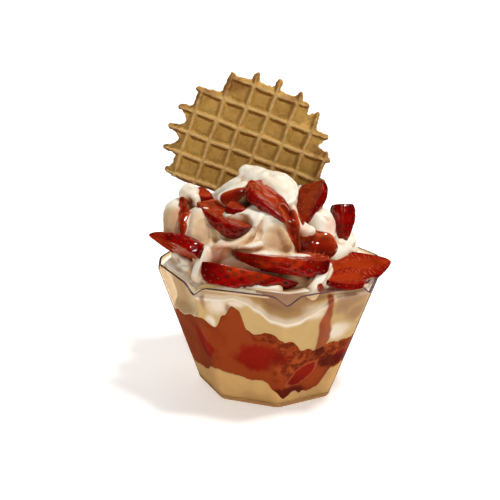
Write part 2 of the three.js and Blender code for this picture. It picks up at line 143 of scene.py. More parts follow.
# Thin lips where a fold of cream turns over, and small lumps, of the same kind
CREAM_LIPS = [
    # the left slope, the plateau's sharp left edge and its top, then the round flap's edge
    [(-25.7, 3, 78.6, 2.4), (-22.2, 1, 80.8, 2.6), (-18.3, 0, 83.6, 3), (-15, -1, 86.4, 3)],
    [(-12.6, -1, 87, 2.6), (-12.6, -1, 90, 2.4), (-12.6, -1, 91.8, 1.9), (-10.8, -1, 92.2, 2),
     (-6, -2, 91.6, 2)],
    [(-1.5, -3.5, 91, 1.8), (1.5, -4.5, 90.8, 1.8), (4.7, -5.5, 89.5, 1.8), (7.4, -6.8, 87.4, 1.8),
     (8.4, -8.5, 85.4, 1.8), (8, -10.5, 83.8, 1.7), (5.8, -12.3, 82.2, 1.5), (3.7, -13, 81.2, 1.2)],
    # the lumpy cap at the left
    [(-37.4, -6, 82.4, 1.8), (-36, -5.4, 84.6, 1.7), (-34.4, -5.2, 85.2, 1.6), (-32.6, -6, 84, 1.8)],
    [(-33, -7, 83, 1.8), (-31.6, -8, 80.8, 2), (-31, -10, 77.4, 2)],
    # the ribbon's lip and the narrow ridge that falls from its left end
    [(-25, -29, 66, 1.2), (-20.9, -31.6, 66.9, 1.5), (-17.6, -32.6, 67.4, 1.6), (-14.5, -32.4, 68, 1.6),
     (-12.3, -31.4, 69.2, 1.6), (-9.7, -29.4, 70.6, 1.6), (-7.2, -25.5, 72.6, 1.6), (-5.1, -20.5, 75, 1.7),
     (-4.1, -15.5, 76.8, 1.8)],
    [(-25.2, -30.6, 66.8, 1.3), (-26.2, -32.6, 64.4, 1.5), (-27.1, -34.4, 61.4, 1.6),
     (-28.1, -35.4, 58.3, 1.6), (-28.8, -35.8, 56, 1.5)],
    [(-16, -32, 67, 1.1), (-12, -32.4, 67.8, 1.5), (-8, -32, 68, 1.6), (-4.4, -31, 69, 1.2)],
    # the white streak beside the sauce, the frill at its right and its small lump
    [(2.6, -27.4, 75.6, 1.2), (3.9, -28.6, 73, 1.7), (5, -29.8, 70.4, 1.8), (6.4, -31, 67.4, 1.5)],
    [(7.4, -23, 82.6, 0.9), (8, -24.6, 80, 1.2), (8.6, -25, 77.6, 1.1), (9.6, -25, 75, 1.5),
     (11, -24.4, 73.2, 1.3)],
    [(10.4, -24, 73.4, 1.5), (12.6, -23.4, 72.4, 2.3), (14.6, -22.6, 72.6, 1.9), (15.8, -22, 71, 1.3)],
    # along the front rim, with small lumps at its left end
    [(-25.5, -36.5, 55.2, 2), (-22.5, -37.4, 56.4, 2), (-19, -38.4, 56.2, 2.2), (-11.5, -40, 55.2, 2.4),
     (-3.4, -40.8, 54.2, 2.4), (4.2, -40.4, 53.6, 2)],
    # along the left rim
    [(-41.5, -12, 55.2, 2.4), (-39.6, -18, 54.8, 2.8), (-36.8, -23.4, 54.4, 2.8), (-33.4, -28, 53.6, 2.6)],
    [(-40, -12, 59.4, 2), (-37.6, -18, 59.2, 2.4), (-34.4, -24, 58.6, 2.2), (-31, -28.6, 57.4, 2)],
    # at the back
    [(-22, 33, 72, 1.8), (-13, 36.5, 74.5, 2), (-3, 37, 76, 2), (7, 33, 76.5, 2), (14, 24, 77, 2),
     (16, 14, 78, 1.8)],
    [(-30, 24, 64, 1.6), (-20, 34, 66.5, 1.8), (-6, 39, 67.5, 1.8), (8, 38, 67, 1.6)],
]

# How the cream was worked with a spoon, each time along one direction: from the front, the left, the right
# or behind. A fold is a line with a lip and a groove below or beside it: its direction, which side the groove
# is on, the lip's height, its width and the line.
FRONT, LEFT, RIGHT, BEHIND = (0, 0.92, -0.39), (0.92, 0.2, -0.33), (-0.92, 0.2, -0.33), (0, -0.92, -0.39)
CREAM_FOLDS = [
    (FRONT, (0.2, 0, -1), 1.1, 1.0, [(-24.5, -30, 67.4), (-20.9, -32, 67.6), (-17.6, -33, 67.9),
     (-14.5, -33, 68.5), (-12.3, -32, 69.6), (-9.7, -30, 71.1), (-7.2, -26, 72.9), (-5.1, -21, 75.4),
     (-4.1, -16, 77.3)]),
    (FRONT, (0, 0, -1), 0.7, 1.0,
     [(-16, -33, 67.6), (-11.8, -34, 68.2), (-7, -34, 68.4), (-3, -33, 69.4)]),
    (FRONT, (-1, 0, -0.2), 0.9, 0.9,
     [(-25.2, -31, 67), (-26.2, -33, 64.6), (-27.1, -35, 61.6), (-28.6, -37, 56.5)]),
    (FRONT, (-0.6, 0, -0.8), 0.35, 1.4, [(-2.2, -4, 92.2), (-4.4, -6, 90.6), (-8, -9, 88.6), (-10, -11, 87)]),
    (FRONT, (1, 0, 0), 1.2, 1.3, [(-35.6, -10, 82), (-35, -13, 77), (-35, -16, 71), (-35.4, -18, 66)]),
    (FRONT, (1, 0, 0), 0.6, 1.2, [(-24.4, -20, 73), (-23.6, -26, 70), (-24, -29, 67)]),
    (FRONT, (-0.3, 0, -1), 0.7, 1.2, [(-39, -20, 62.4), (-35, -26, 60.4), (-31.6, -30, 61)]),
    (FRONT, (0.2, 0, -1), 0.6, 1.0, [(-38, -24, 58.6), (-33.6, -29, 57.4), (-30, -32, 58)]),
    (FRONT, (0.5, 0, -0.8), 0.6, 1.1, [(-38.6, -26, 55.6), (-34, -31, 53.6), (-30, -34, 54.4)]),
    (FRONT, (1, 0, 0), 0.7, 1.1, [(22.2, -33, 63), (20.6, -36, 60), (18.4, -39, 56.9), (14.8, -42, 53.6)]),
    (FRONT, (-1, 0, 0), 0.8, 1.0, [(19, -33, 61.6), (16.4, -38, 58), (13, -41, 54.4)]),
    (FRONT, (0.9, 0, -0.4), 0.5, 1.4, [(15.6, -8, 77.4), (19, -9, 75), (21.6, -10, 71.6)]),
    (FRONT, (0.5, 0, -0.9), 0.7, 1.3, [(23, -10, 68), (26.4, -9, 66.4), (30, -8, 66)]),
    (LEFT, (0, 0.4, -1), 1.0, 1.3, [(-44, 1, 73), (-43, 8, 71), (-38, 16, 68)]),
    (LEFT, (0, 0.3, -1), 0.8, 1.3, [(-42, 2, 62), (-41, 14, 62), (-34, 26, 60)]),
    (LEFT, (0, 1, -0.3), 0.8, 1.3, [(-40, 6, 79), (-40, 11, 73), (-38, 14, 66)]),
    (RIGHT, (0, -0.5, -1), 0.9, 1.3, [(34, 8, 66), (27, 18, 69), (18, 26, 71)]),
    (RIGHT, (0, 0.6, -0.8), 0.9, 1.3, [(22, -4, 80), (22, 4, 78), (20, 12, 78)]),
    (RIGHT, (0, 0.2, -1), 0.8, 1.3, [(38, -4, 60), (37, 8, 62), (28, 20, 61)]),
    (BEHIND, (0.1, 0, -1), 1.1, 1.3, [(-26, 30, 70), (-13, 37, 72), (-2, 38, 74), (8, 34, 75), (16, 24, 75)]),
    (BEHIND, (-0.2, 0, -1), 0.9, 1.3,
     [(-34, 22, 62), (-20, 36, 64.5), (-6, 41, 66), (8, 40, 65), (22, 30, 63)]),
    (BEHIND, (0.6, 0, -0.8), 0.8, 1.3, [(6, 20, 86), (-2, 24, 82), (-10, 30, 77)]),
]
# A dent is where the back of the spoon was pressed in: its direction, its middle, its reach and its depth
CREAM_DENTS = [
    (FRONT, (2.6, -11, 86), 6.6, 2.2), (FRONT, (-13.5, -27, 72.8), 7, 2.2),
    (FRONT, (0.5, -28, 72.4), 6.4, 1.1), (FRONT, (9, -40, 58), 5, 0.8),
    (FRONT, (-33, -30, 52), 4, 1.6), (FRONT, (-25, -22, 70), 6, 1.0),
    (FRONT, (19, -10, 71), 5, 0.8), (FRONT, (-16, -34, 62), 5, 1.6), (FRONT, (-35, -26, 62.6), 3.4, 1.2),
    (LEFT, (-46, 6, 66), 6, 1.4), (LEFT, (-44, 14, 74), 6, 1.4), (RIGHT, (34, 12, 72), 6, 1.4),
    (RIGHT, (26, 0, 82), 6, 1.2), (BEHIND, (-8, 40, 70), 7, 1.4), (BEHIND, (10, 36, 72), 6, 1.4),
    (BEHIND, (-22, 34, 66), 6, 1.2), (BEHIND, (4, 26, 84), 7, 1.4),
]

# Each slice: the places of its stem end and its tip, which way its cut face looks, the fruit's radius, and
# its two cuts, as distances from the fruit's axis towards that face
SLICES = {
    "half_left": ((-26, -31, 59.5), (-50, -15.5, 67), (-0.1, -0.7, -0.7), 8, (-6.5, 0)),
    "half_upper_left": ((-6.5, -24, 74.5), (-30.5, -12.5, 80.5), (0.15, -0.1, 0.98), 10, (-6.2, 0.3)),
    "piece_at_waffle": ((-33, -3, 82.5), (-24.5, -7, 80.5), (0, -0.3, 0.95), 3.8, (-2.6, 1.6)),
    "piece_small": ((-18.2, -18, 80), (-9.7, -21, 78.4), (0.15, -0.2, 0.96), 3.8, (-1.2, 1.8)),
    "half_top": ((-7.5, -12, 89.6), (9.3, -28.5, 75), (0.55, -0.4, 0.73), 7.4, (-7.4, 0.5)),
    "half_upright": ((15.3, 0.5, 87.2), (11.6, -10.5, 71), (-0.75, -0.6, 0.2), 7.6, (-7.6, 0)),
    "half_far_right": ((29, 3, 77.5), (29.8, -2.5, 62), (0.1, 0.95, -0.3), 5.3, (-5.3, -0.4)),
    "chunk_sauced": ((9.5, -15, 67.3), (26, -16.4, 64.3), (0, -0.4, 0.9), 6.5, (-3, 3)),
    "half_front_upper": ((21.8, -32.5, 64.8), (-15.5, -32, 66.7), (0.02, 0.13, 0.99), 9.6, (-7.3, -0.3)),
    "half_front_lower": ((-26.3, -35.8, 62.4), (13, -36.4, 55.1), (0.17, 0.42, 0.89), 8.4, (-7.6, -0.2)),
    "slice_right": ((21, -25, 58.4), (48.6, -8, 57), (0.12, -0.3, 0.95), 10.5, (-3, 0.3)),
    "slice_right_front": ((34, -31.5, 57.2), (20, -38.2, 56.6), (0, -0.35, 0.93), 5.5, (-1.4, 1.2)),
    "slice_back_left": ((-43, 8, 64), (-26, 32, 70), (-0.5, 0.3, 0.8), 9, (-1, 3)),
    "half_back": ((-6, 41, 66), (18, 34, 68), (0.1, 0.5, 0.85), 11, (-10, -1)),
    "slice_back_right": ((31, 14, 60), (17, 31, 65), (0.5, 0.5, 0.7), 9, (-2, 2)),
}
# The share that is cut off at the stem, where some is
CUT_OFF = {"half_upright": 0.07, "half_far_right": 0.07}
# The power that rounds the ends of a fruit, and less of it for fuller ends
END_POWER = 0.6
FULL_ENDS = {"half_front_upper": 0.42}

# Sauce that lies on the cream and the slices: x, y, z and half-width along the middle of each run. Each is
# laid on what carries it along the line of sight of the front view.
SAUCE_RUNS = {
    "sauce_left_stripe": [(-38, -8, 82, 1.8), (-36.1, -11, 78.9, 2.4), (-35.5, -13, 75.2, 2.4),
                          (-35.6, -15, 71.5, 2.0), (-35, -17, 67.1, 1.8)],
    "sauce_stream": [(2.5, -27, 85.5, 1.6), (4.7, -29, 83.3, 2.2), (6.8, -31, 80.3, 2.4),
                     (7.8, -33, 76.5, 2.4), (8.6, -35, 72.5, 2.2), (9.4, -36, 68.6, 2.2)],
    "sauce_stream_right": [(8, -22, 84, 1.4), (10.2, -25, 80.4, 1.4), (11.8, -27, 76.8, 1.4)],
    "sauce_ridge": [(-21.5, -14, 82.6, 2.2), (-17, -14, 83.6, 2.8), (-13.4, -13, 85, 2.6),
                    (-9.5, -13, 86.4, 1.8)],
    "sauce_pool": [(8.4, -31, 70, 3.0), (12.2, -31, 69.4, 4.8), (17, -30, 70, 5.4), (21.6, -29, 69, 4.8),
                   (24.6, -28, 65.4, 3.0)],
    "sauce_face": [(-29.4, -12.5, 80.9, 1.4), (-26, -14, 80.6, 2.2), (-22.6, -15.6, 80.2, 2.4),
                   (-20, -17, 79.6, 1.6)],
    "sauce_drop": [(17.8, -42, 57.4, 1.0), (18.2, -43, 56, 1.3), (18.3, -44, 54.9, 1.0)],
}

# Waffle, in its own plane: x along the falling ribs, y up across them
WAFFLE_CENTRE = (-12.5, 20, 94.4)
WAFFLE_RADIUS = 36.5  # to the tips of the ribs
WEB_RADIUS = 30.6
CELL = (9.9, 9.5)
RISING_OFFSET = 2.4  # from the centre to the nearest rising rib
FALLING_OFFSET = 1.5
CUT_BELOW_CENTRE = 19.2
LATTICE_TURN = -19.4
FORWARD_LEAN = 3
EDGE_RIB_BEYOND = 27  # a rib this far from the centre is cut short
EDGE_RIB_SHARE = 0.84
RAISED_RING = (-24.5, -13.2, 2.2, 0.55)  # in one cell: its middle, its radius and its width


def from_display(red, green, blue):
    """The linear colour of a display colour of 0 to 255: the power of 2.4 that screens undo."""
    value = np.array([red, green, blue]) / 255
    return tuple(np.where(value < 0.04045, value / 12.92, ((value + 0.055) / 1.055) ** 2.4))


def scaled(colour, shares):
    """A colour whose red, green and blue are multiplied by their shares."""
    return tuple(np.array(colour) * shares)


def length(name, description, millimetres):
    """A property that holds a length."""
    return FloatProperty(name=name, description=description, default=millimetres * MM, unit="LENGTH")


def colour(name, description, red, green, blue):
    """A property that holds a colour, given as it shows on a display."""
    return FloatVectorProperty(
        name=name, description=description, default=from_display(red, green, blue), subtype="COLOR"
    )


class CupSettings(bpy.types.PropertyGroup):
    wall: length("Wall", "Thickness of the plastic", 1.0)
    floor: length("Floor", "Thickness of the floor", 1.4)
    notch_depth: length("Notch depth", "Depth of the V in the rim at each corner", 4.2)
    notch_half_width: length("Notch half-width", "From the middle of the V to its shoulder", 5.0)
    tint: colour("Tint", "What a wall of the plastic lets through", 248, 238, 222)
    # Painted see-through light: the bare plastic tan, as a warm backdrop behind it would show
    bare_see_through_tint: colour("Bare tint", "The same where nothing is pressed to it", 194, 158, 106)
    edge: colour("Rim line", "The rim, seen along the wall", 110, 78, 84)
    foot_edge: colour("Foot line", "Round the base", 176, 130, 84)


class LayerSettings(bpy.types.PropertyGroup):
    into_wall: length("Into the wall", "How far the contents reach into the plastic", 0.1)
    ice_cream: colour("Ice cream", "The lowest layer", 216, 180, 122)
    fruit: colour("Crushed fruit", "The middle layer", 152, 64, 26)
    slice: colour("Pressed slices", "Slices flat against the wall", 142, 22, 4)
    juice: colour("Juice", "Where it has gathered", 72, 3, 1)
    pressed_cream: colour("Pressed cream", "Cream flat against the wall", 208, 180, 128)
    # Painted highlight along each fold's crest, and painted shade deep in the folds
    crest: colour("Crest", "Cream where a fold leaves the wall", 244, 240, 236)
    shaded_cream: colour("Shaded cream", "Deep in the folds behind the wall", 160, 126, 100)
    drip: colour("Drip", "Sauce that has run down inside the wall", 166, 76, 30)


class CreamSettings(bpy.types.PropertyGroup):
    grain: length("Grain", "Size of the smallest fold that is kept", 0.58)
    smoothing: IntProperty(name="Smoothing", description="Rounds of smoothing of the folds", default=4, min=0)
    white: colour("White", "The cream", 242, 235, 218)
    # Colours of painted shade: warm for cream in the folds, tan to brown close under fruit
    painted_shade: colour("Hollow", "Cream in the folds", 218, 186, 148)
    deep: colour("Deep hollow", "Cream close under fruit", 182, 128, 76)
    stain: colour("Stain", "Cream that sauce has soaked", 222, 150, 112)


class WaffleSettings(bpy.types.PropertyGroup):
    grain: length("Grain", "Size of the smallest detail that is kept", 0.4)
    thickness: length("Thickness", "Over the ribs", 5.6)
    web: length("Web", "Thickness at the bottom of the cells", 1.7)
    crest: length("Crest", "Width of a rib at its crest", 0.7)
    foot: length("Foot", "Width of a rib at its foot", 4.4)
    floor: colour("Cell floor", "At the bottom of the cells", 202, 158, 80)
    # Crest colour: drier batter and partly a painted highlight. The browned colour also paints shade under
    # the ribs
    dry_and_highlight: colour("Crest colour", "Along the ribs' crests", 198, 162, 104)
    baked_and_shaded: colour("Baked", "Where the batter has browned", 124, 78, 18)


class BerrySettings(bpy.types.PropertyGroup):
    seed_step: length("Seed spacing", "From one seed to the next", 2.7)
    seed_length: length("Seed length", "Long side of a seed", 1.1)
    pit_depth: length("Pit depth", "How deep the seeds sit", 0.4)
    skin: colour("Skin", "Outside of the fruit", 150, 8, 5)
    flesh: colour("Flesh", "Cut face near the skin", 146, 24, 8)
    heart: colour("Heart", "Middle of the cut face", 168, 52, 14)
    unripe: colour("Unripe skin", "Where the skin is still orange", 206, 66, 16)


class SauceSettings(bpy.types.PropertyGroup):
    depth: length("Depth", "Thickness of the sauce at the middle of a run", 0.6)
    syrup: colour("Syrup", "Strawberry sauce", 150, 32, 10)
    thin: colour("Thin syrup", "Where the sauce thins out over cream", 196, 92, 48)


class StageSettings(bpy.types.PropertyGroup):
    lens: FloatProperty(name="Lens", description="Focal length", default=50.4, subtype="DISTANCE_CAMERA")
    camera: FloatVectorProperty(
        name="Camera", description="Where it stands", default=(0, -0.2868, 0.1374), subtype="TRANSLATION"
    )
    target: FloatVectorProperty(
        name="Target", description="What it looks at", default=(-0.0095, 0, 0.0577), subtype="TRANSLATION"
    )
    roll: FloatProperty(
        name="Roll", description="Turn about the view", default=np.radians(1.0), subtype="ANGLE"
    )
    key_power: FloatProperty(name="Key light", description="Power", default=5.8, unit="POWER")
    fill_power: FloatProperty(name="Fill light", description="Power", default=0.4, unit="POWER")
    sky: FloatProperty(name="Sky", description="Strength of the light from above", default=0.2)
    floor: colour("Floor", "Pale floor", 250, 249, 247)
    floor_glow: FloatProperty(name="Floor glow", description="Light that the floor gives off", default=0.42)


class SundaeSettings(bpy.types.PropertyGroup):
    cup: PointerProperty(type=CupSettings)
    layers: PointerProperty(type=LayerSettings)
    cream: PointerProperty(type=CreamSettings)
    waffle: PointerProperty(type=WaffleSettings)
    berries: PointerProperty(type=BerrySettings)
    sauce: PointerProperty(type=SauceSettings)
    stage: PointerProperty(type=StageSettings)


def unit(vectors):
    """The same directions with a length of one."""
    return vectors / np.maximum(np.linalg.norm(vectors, axis=-1, keepdims=True), 1e-9)


def ease(value):
    """From 0 to 1 along 3 v^2 - 2 v^3, and flat beyond both ends."""
    value = np.clip(value, 0, 1)
    return value * value * (3 - 2 * value)


def uneven(places, size, seed):
    """Smooth random values of about -1 to 1: the sum of sine waves about size long, running all ways."""
    waves = 14
    draw = np.random.default_rng(seed)
    ways = unit(draw.normal(size=(waves, 3)))
    lengths = size * draw.uniform(0.7, 1.6, (waves, 1))
    starts = draw.uniform(0, 2 * np.pi, waves)
    return np.sin(places @ (2 * np.pi * ways / lengths).T + starts).sum(-1) / np.sqrt(2 * waves)


def level_circle(angle):
    """Directions in the level plane at angles in radians."""
    return np.stack([np.cos(angle), np.sin(angle), 0 * angle], -1)


def smooth_line(points, shares):
    """A Catmull-Rom line through the points: cubics that leave each point along the step between its
    neighbours. shares run from 0 at the first point to 1 at the last."""
    points = np.asarray(points, float)
    padded = np.vstack([2 * points[0] - points[1], points, 2 * points[-1] - points[-2]])
    place = np.asarray(shares) * (len(points) - 1)
    first = np.minimum(place.astype(int), len(points) - 2)
    t = (place - first)[:, None]
    a, b, c, d = (padded[first + k] for k in range(4))
    return 0.5 * (2 * b + (c - a) * t + (2 * a - 5 * b + 4 * c - d) * t**2 + (3 * b - a - 3 * c + d) * t**3)


def grid_faces(rows, columns):
    """Four-sided faces between neighbouring rings whose columns close on themselves."""
    here = np.arange(rows * columns).reshape(rows, columns)
    right = np.roll(here, -1, axis=1)
    return np.stack([here[:-1], right[:-1], right[1:], here[1:]], -1).reshape(-1, 4)


def closed_rings(rings):
    """Vertices and faces of rings joined in order, with a fan of triangles to the middle of each end."""
    rows, columns = rings.shape[:2]
    vertices = np.vstack([rings.reshape(-1, 3), rings[0].mean(0), rings[-1].mean(0)])
    column = np.arange(columns)
    after = (column + 1) % columns
    last = (rows - 1) * columns
    fans = [
        np.stack([np.full(columns, rows * columns), after, column], 1),
        np.stack([np.full(columns, rows * columns + 1), last + column, last + after], 1),
    ]
    return vertices, grid_faces(rows, columns).tolist() + np.vstack(fans).tolist()


def joined(shapes):
    """Several (vertices, faces) as one."""
    vertices, faces, first = [], [], 0
    for more_vertices, more_faces in shapes:
        vertices.append(more_vertices)
        faces += [[first + corner for corner in face] for face in more_faces]
        first += len(more_vertices)
    return np.vstack(vertices), faces


def make_mesh(name, shape):
    """A mesh of a shape in millimetres, with its faces turned outwards and shaded smooth."""
    vertices, faces = shape
    mesh = bpy.data.meshes.new(name)
    mesh.from_pydata((vertices * MM).tolist(), [], faces)
    turn_outwards(mesh)
    return mesh


def turn_outwards(mesh):
    """Turns a closed mesh's faces outwards and shades them smooth."""
    work = bmesh.new()
    work.from_mesh(mesh)
    bmesh.ops.recalc_face_normals(work, faces=work.faces)
    work.to_mesh(mesh)
    work.free()
    mesh.shade_smooth()


def vertices_of(mesh):
    """A mesh's vertices in millimetres."""
    flat = np.empty(3 * len(mesh.vertices), np.float32)
    mesh.vertices.foreach_get("co", flat)
    return flat.reshape(-1, 3).astype(float) / MM


def normals_of(mesh):
    """A mesh's vertex normals."""
    flat = np.empty(3 * len(mesh.vertices), np.float32)
    mesh.vertex_normals.foreach_get("vector", flat)
    return flat.reshape(-1, 3).astype(float)


def set_vertices(mesh, vertices):
    """Moves a mesh's vertices to places in millimetres."""
    mesh.vertices.foreach_set("co", (vertices * MM).astype(np.float32).ravel())
    mesh.update()


def spread(mesh, values, rounds):
    """Rows of values on the vertices, each moved to the mean of its neighbours' so many times."""
    ends = np.empty(2 * len(mesh.edges), np.int32)
    mesh.edges.foreach_get("vertices", ends)
    first, second = ends.reshape(-1, 2).T
    number = len(mesh.vertices)
    neighbours = np.bincount(first, minlength=number) + np.bincount(second, minlength=number)
    for _ in range(rounds):
        sums = [
            np.bincount(first, v[second], number) + np.bincount(second, v[first], number) for v in values.T
        ]
        values = np.stack(sums, 1) / neighbours[:, None]
    return values


# Used as a mask of painted shade: crowded places are where shade falls.
def crowding(mesh):
    """How close other surfaces stand in front of each vertex, from 0 to 1: the area of this skin and of the
    slices in each cubic millimetre, blurred as a bell curve, read a little way out along the normal."""
    reach, ahead = 3.0, 3.4
    fruits = [thing.data for thing in bpy.context.scene.objects if thing.name.endswith("_fruit")]
    middles, areas = [], []
    for each in [mesh, *fruits]:
        count = len(each.polygons)
        middle, area = np.empty(3 * count, np.float32), np.empty(count, np.float32)
        each.polygons.foreach_get("center", middle)
        each.polygons.foreach_get("area", area)
        middles.append(middle.reshape(-1, 3) / MM)
        areas.append(area / MM**2)
    middles = np.vstack(middles)
    margin = 4 * reach
    low = middles.min(0) - margin
    cells = np.ceil(middles.max(0) + margin - low).astype(int)
    edges = [low[k] + np.arange(n + 1) for k, n in enumerate(cells)]
    field = np.histogramdd(middles, edges, weights=np.hstack(areas))[0]
    squares = sum(np.meshgrid(*(np.fft.fftfreq(n) ** 2 for n in cells), indexing="ij"))
    field = np.fft.ifftn(np.fft.fftn(field) * np.exp(-2 * (np.pi * reach) ** 2 * squares)).real
    cell = np.clip((vertices_of(mesh) + normals_of(mesh) * ahead - low).astype(int), 0, cells - 1)
    density = spread(mesh, field[tuple(cell.T)][:, None], 4)[:, 0]
    open_density, crowded = 0.1, 0.32
    return ease((density - open_density) / (crowded - open_density))


def in_spots(places, seeds):
    """The strongest of several round spots at each place. Each fades out between 0.6 and 1.6 times its
    reach."""
    value = np.zeros(len(places))
    for x, y, z, reach, strength in seeds:
        away = np.linalg.norm(places - (x, y, z), axis=1) / reach
        value = np.maximum(value, strength * ease(1.6 - away))
    return value


def set_value(mesh, name, values):
    """Stores one number for each vertex."""
    attribute = mesh.attributes.new(name, "FLOAT", "POINT")
    attribute.data.foreach_set("value", np.asarray(values, np.float32))


def piece(name, mesh, materials, nodes=()):
    """Puts a finished mesh in the scene as a piece of the object that stands for some of its solids."""
    thing = bpy.data.objects.new(name, mesh)
    bpy.context.scene.collection.objects.link(thing)
    for material in materials:
        mesh.materials.append(material)
    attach(thing, "root")
    if nodes:
        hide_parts(*nodes)
    return thing


def with_modifiers(mesh, *modifiers, place=Matrix()):
    """The mesh as these modifiers leave it, in its own frame. Each is (kind, settings)."""
    thing = bpy.data.objects.new("passing", mesh)
    bpy.context.scene.collection.objects.link(thing)
    thing.matrix_world = place
    for kind, settings in modifiers:
        modifier = thing.modifiers.new(kind, kind)
        for key, value in settings.items():
            setattr(modifier, key, value)
    evaluated = thing.evaluated_get(bpy.context.evaluated_depsgraph_get())
    result = bpy.data.meshes.new_from_object(evaluated)
    bpy.data.objects.remove(thing)
    return result


def melted(shape, grain, smoothing):
    """One skin round shapes that overlap, in cells of the size grain, smoothed."""
    return with_modifiers(
        make_mesh("loose", shape),
        ("REMESH", {"mode": "VOXEL", "voxel_size": grain, "use_smooth_shade": True}),
        ("SMOOTH", {"factor": 0.5, "iterations": smoothing}),
    )


def close_at_ends(count):
    """Shares from 0 to 1 that follow half a cosine wave, so that they lie closer together near both ends."""
    return (1 - np.cos(np.pi * np.linspace(0, 1, count))) / 2


def lobe(points):
    """A round-ended tube along a smooth line through points of x, y, z and radius. Near an end the radius
    falls as a circle does."""
    steps, sides = 30, 24
    path = smooth_line(points, close_at_ends(steps))
    line, radius = path[:, :3], path[:, 3]
    tangent = unit(np.gradient(line, axis=0))
    least = np.eye(3)[np.argmin(np.abs(line[-1] - line[0]))]
    across = unit(np.cross(tangent, least))
    over = np.cross(across, tangent)
    along = np.append(0, np.cumsum(np.linalg.norm(np.diff(line, axis=0), axis=1)))
    from_end = np.minimum(along, along[-1] - along) + radius / 5
    rounded = radius * np.sqrt(1 - np.maximum(0, 1 - from_end / radius) ** 2)
    angle = np.linspace(0, 2 * np.pi, sides, endpoint=False)[None, :, None]
    around = np.cos(angle) * across[:, None] + np.sin(angle) * over[:, None]
    return closed_rings(line[:, None] + rounded[:, None, None] * around)


class Wire:
    """A shader socket in an expression. Each operator adds its Math node and gives that node's output."""

    def __init__(self, finish, socket):
        self.finish = finish
        self.socket = socket

    def math(self, operation, *values):
        return self.finish.node("ShaderNodeMath", {"operation": operation}, dict(enumerate(values)))

    def __add__(self, other):
        return self.math("ADD", self, other)

    def __radd__(self, other):
        return self.math("ADD", other, self)

    def __mul__(self, other):
        return self.math("MULTIPLY", self, other)

    def __rmul__(self, other):
        return self.math("MULTIPLY", other, self)

    def within(self, low, high):
        """How far the value has come from low to high, eased, from 0 to 1."""
        settings = {"interpolation_type": "SMOOTHSTEP"}
        values = {"Value": self, "From Min": low, "From Max": high}
        return self.finish.node("ShaderNodeMapRange", settings, values)


class Finish:
    """A material in the making, round one Principled shader."""

    def __init__(self, name, **constants):
        self.material = bpy.data.materials.new(name)
        self.material.use_nodes = True
        self.tree = self.material.node_tree
        self.shader = self.tree.nodes["Principled BSDF"]
        self.set(**constants)
        where = self.tree.nodes.new("ShaderNodeTexCoord")
        self.place = Wire(self, where.outputs["Object"])

    def set(self, **sockets):
        """Sets the shader's own sockets, named with _ for a space."""
        for name, value in sockets.items():
            self.feed(self.shader.inputs[name.replace("_", " ")], value)

    def feed(self, socket, value):
        if isinstance(value, Wire):
            self.tree.links.new(value.socket, socket)
        elif isinstance(value, tuple) and len(value) == 3 and socket.type == "RGBA":
            socket.default_value = (*value, 1)
        else:
            socket.default_value = value

    def node(self, kind, settings, sockets, output=0):
        """Adds a node: its settings first, then its sockets' values or wires."""
        node = self.tree.nodes.new(kind)
        for key, value in settings.items():
            setattr(node, key, value)
        for key, value in sockets.items():
            self.feed(node.inputs[key], value)
        return Wire(self, node.outputs[output])

    def let_lamps_through(self, tint):
        """Mixes in a tinted clear shader for shadow rays alone, so that the lamps light what is inside."""
        shadow = self.node("ShaderNodeLightPath", {}, {}, output="Is Shadow Ray")
        clear = self.node("ShaderNodeBsdfTransparent", {}, {"Color": tint})
        solid = Wire(self, self.shader.outputs["BSDF"])
        mixed = self.node("ShaderNodeMixShader", {}, {0: shadow, 1: solid, 2: clear})
        self.feed(self.tree.nodes["Material Output"].inputs["Surface"], mixed)

    def vein_place(self):
        """Places for veins: near together round the fruit's heart and long outwards."""
        outwards, along = self.stored("outwards"), self.stored("along")
        sockets = {"X": outwards * 3.0, "Y": along * 46.0, "Z": outwards}
        return self.node("ShaderNodeCombineXYZ", {}, sockets)

    def noise(self, scale, detail=3.0, roughness=0.5, distortion=0.0, place=None):
        sockets = {"Vector": place or self.place, "Scale": scale, "Detail": detail}
        sockets.update({"Roughness": roughness, "Distortion": distortion})
        return self.node("ShaderNodeTexNoise", {}, sockets)

    def cells(self, scale):
        return self.node("ShaderNodeTexVoronoi", {}, {"Vector": self.place, "Scale": scale})

    def stored(self, name):
        """A number stored on the vertices."""
        return self.node("ShaderNodeAttribute", {"attribute_name": name}, {}, output="Fac")

    def blend(self, share, first, second):
        """From the first colour at 0 to the second at 1."""
        sockets = {"Factor": share, "A": first, "B": second}
        node = self.tree.nodes.new("ShaderNodeMix")
        node.data_type = "RGBA"
        by_kind = {s.name: s for s in node.inputs if s.enabled}
        for key, value in sockets.items():
            self.feed(by_kind[key], value)
        return Wire(self, next(s for s in node.outputs if s.enabled))

    def bump(self, height, strength, distance):
        sockets = {"Height": height, "Strength": strength, "Distance": distance}
        self.set(Normal=self.node("ShaderNodeBump", {}, sockets))


def height_at(entries, turn):
    """The height in a list of turns and heights, eased between the two nearest, going round."""
    ordered = sorted(((t + 360) % 360, h) for t, h in entries)
    turns = np.array([ordered[-1][0] - 360, *(t for t, _ in ordered), ordered[0][0] + 360])
    heights = np.array([ordered[-1][1], *(h for _, h in ordered), ordered[0][1]])
    wrapped = np.asarray(turn) % 360
    after = np.clip(np.searchsorted(turns, wrapped, side="right"), 1, len(turns) - 1)
    share = ease((wrapped - turns[after - 1]) / (turns[after] - turns[after - 1]))
    return heights[after - 1] + (heights[after] - heights[after - 1]) * share


def turns_of(places):
    """The turn of each place about the cup's axis, in degrees."""
    return np.degrees(np.arctan2(places[:, 1], places[:, 0]))


def past(turns, turn):
    """How far each turn is past another, from -180 to 180 degrees."""
    return (turns - turn + 180) % 360 - 180


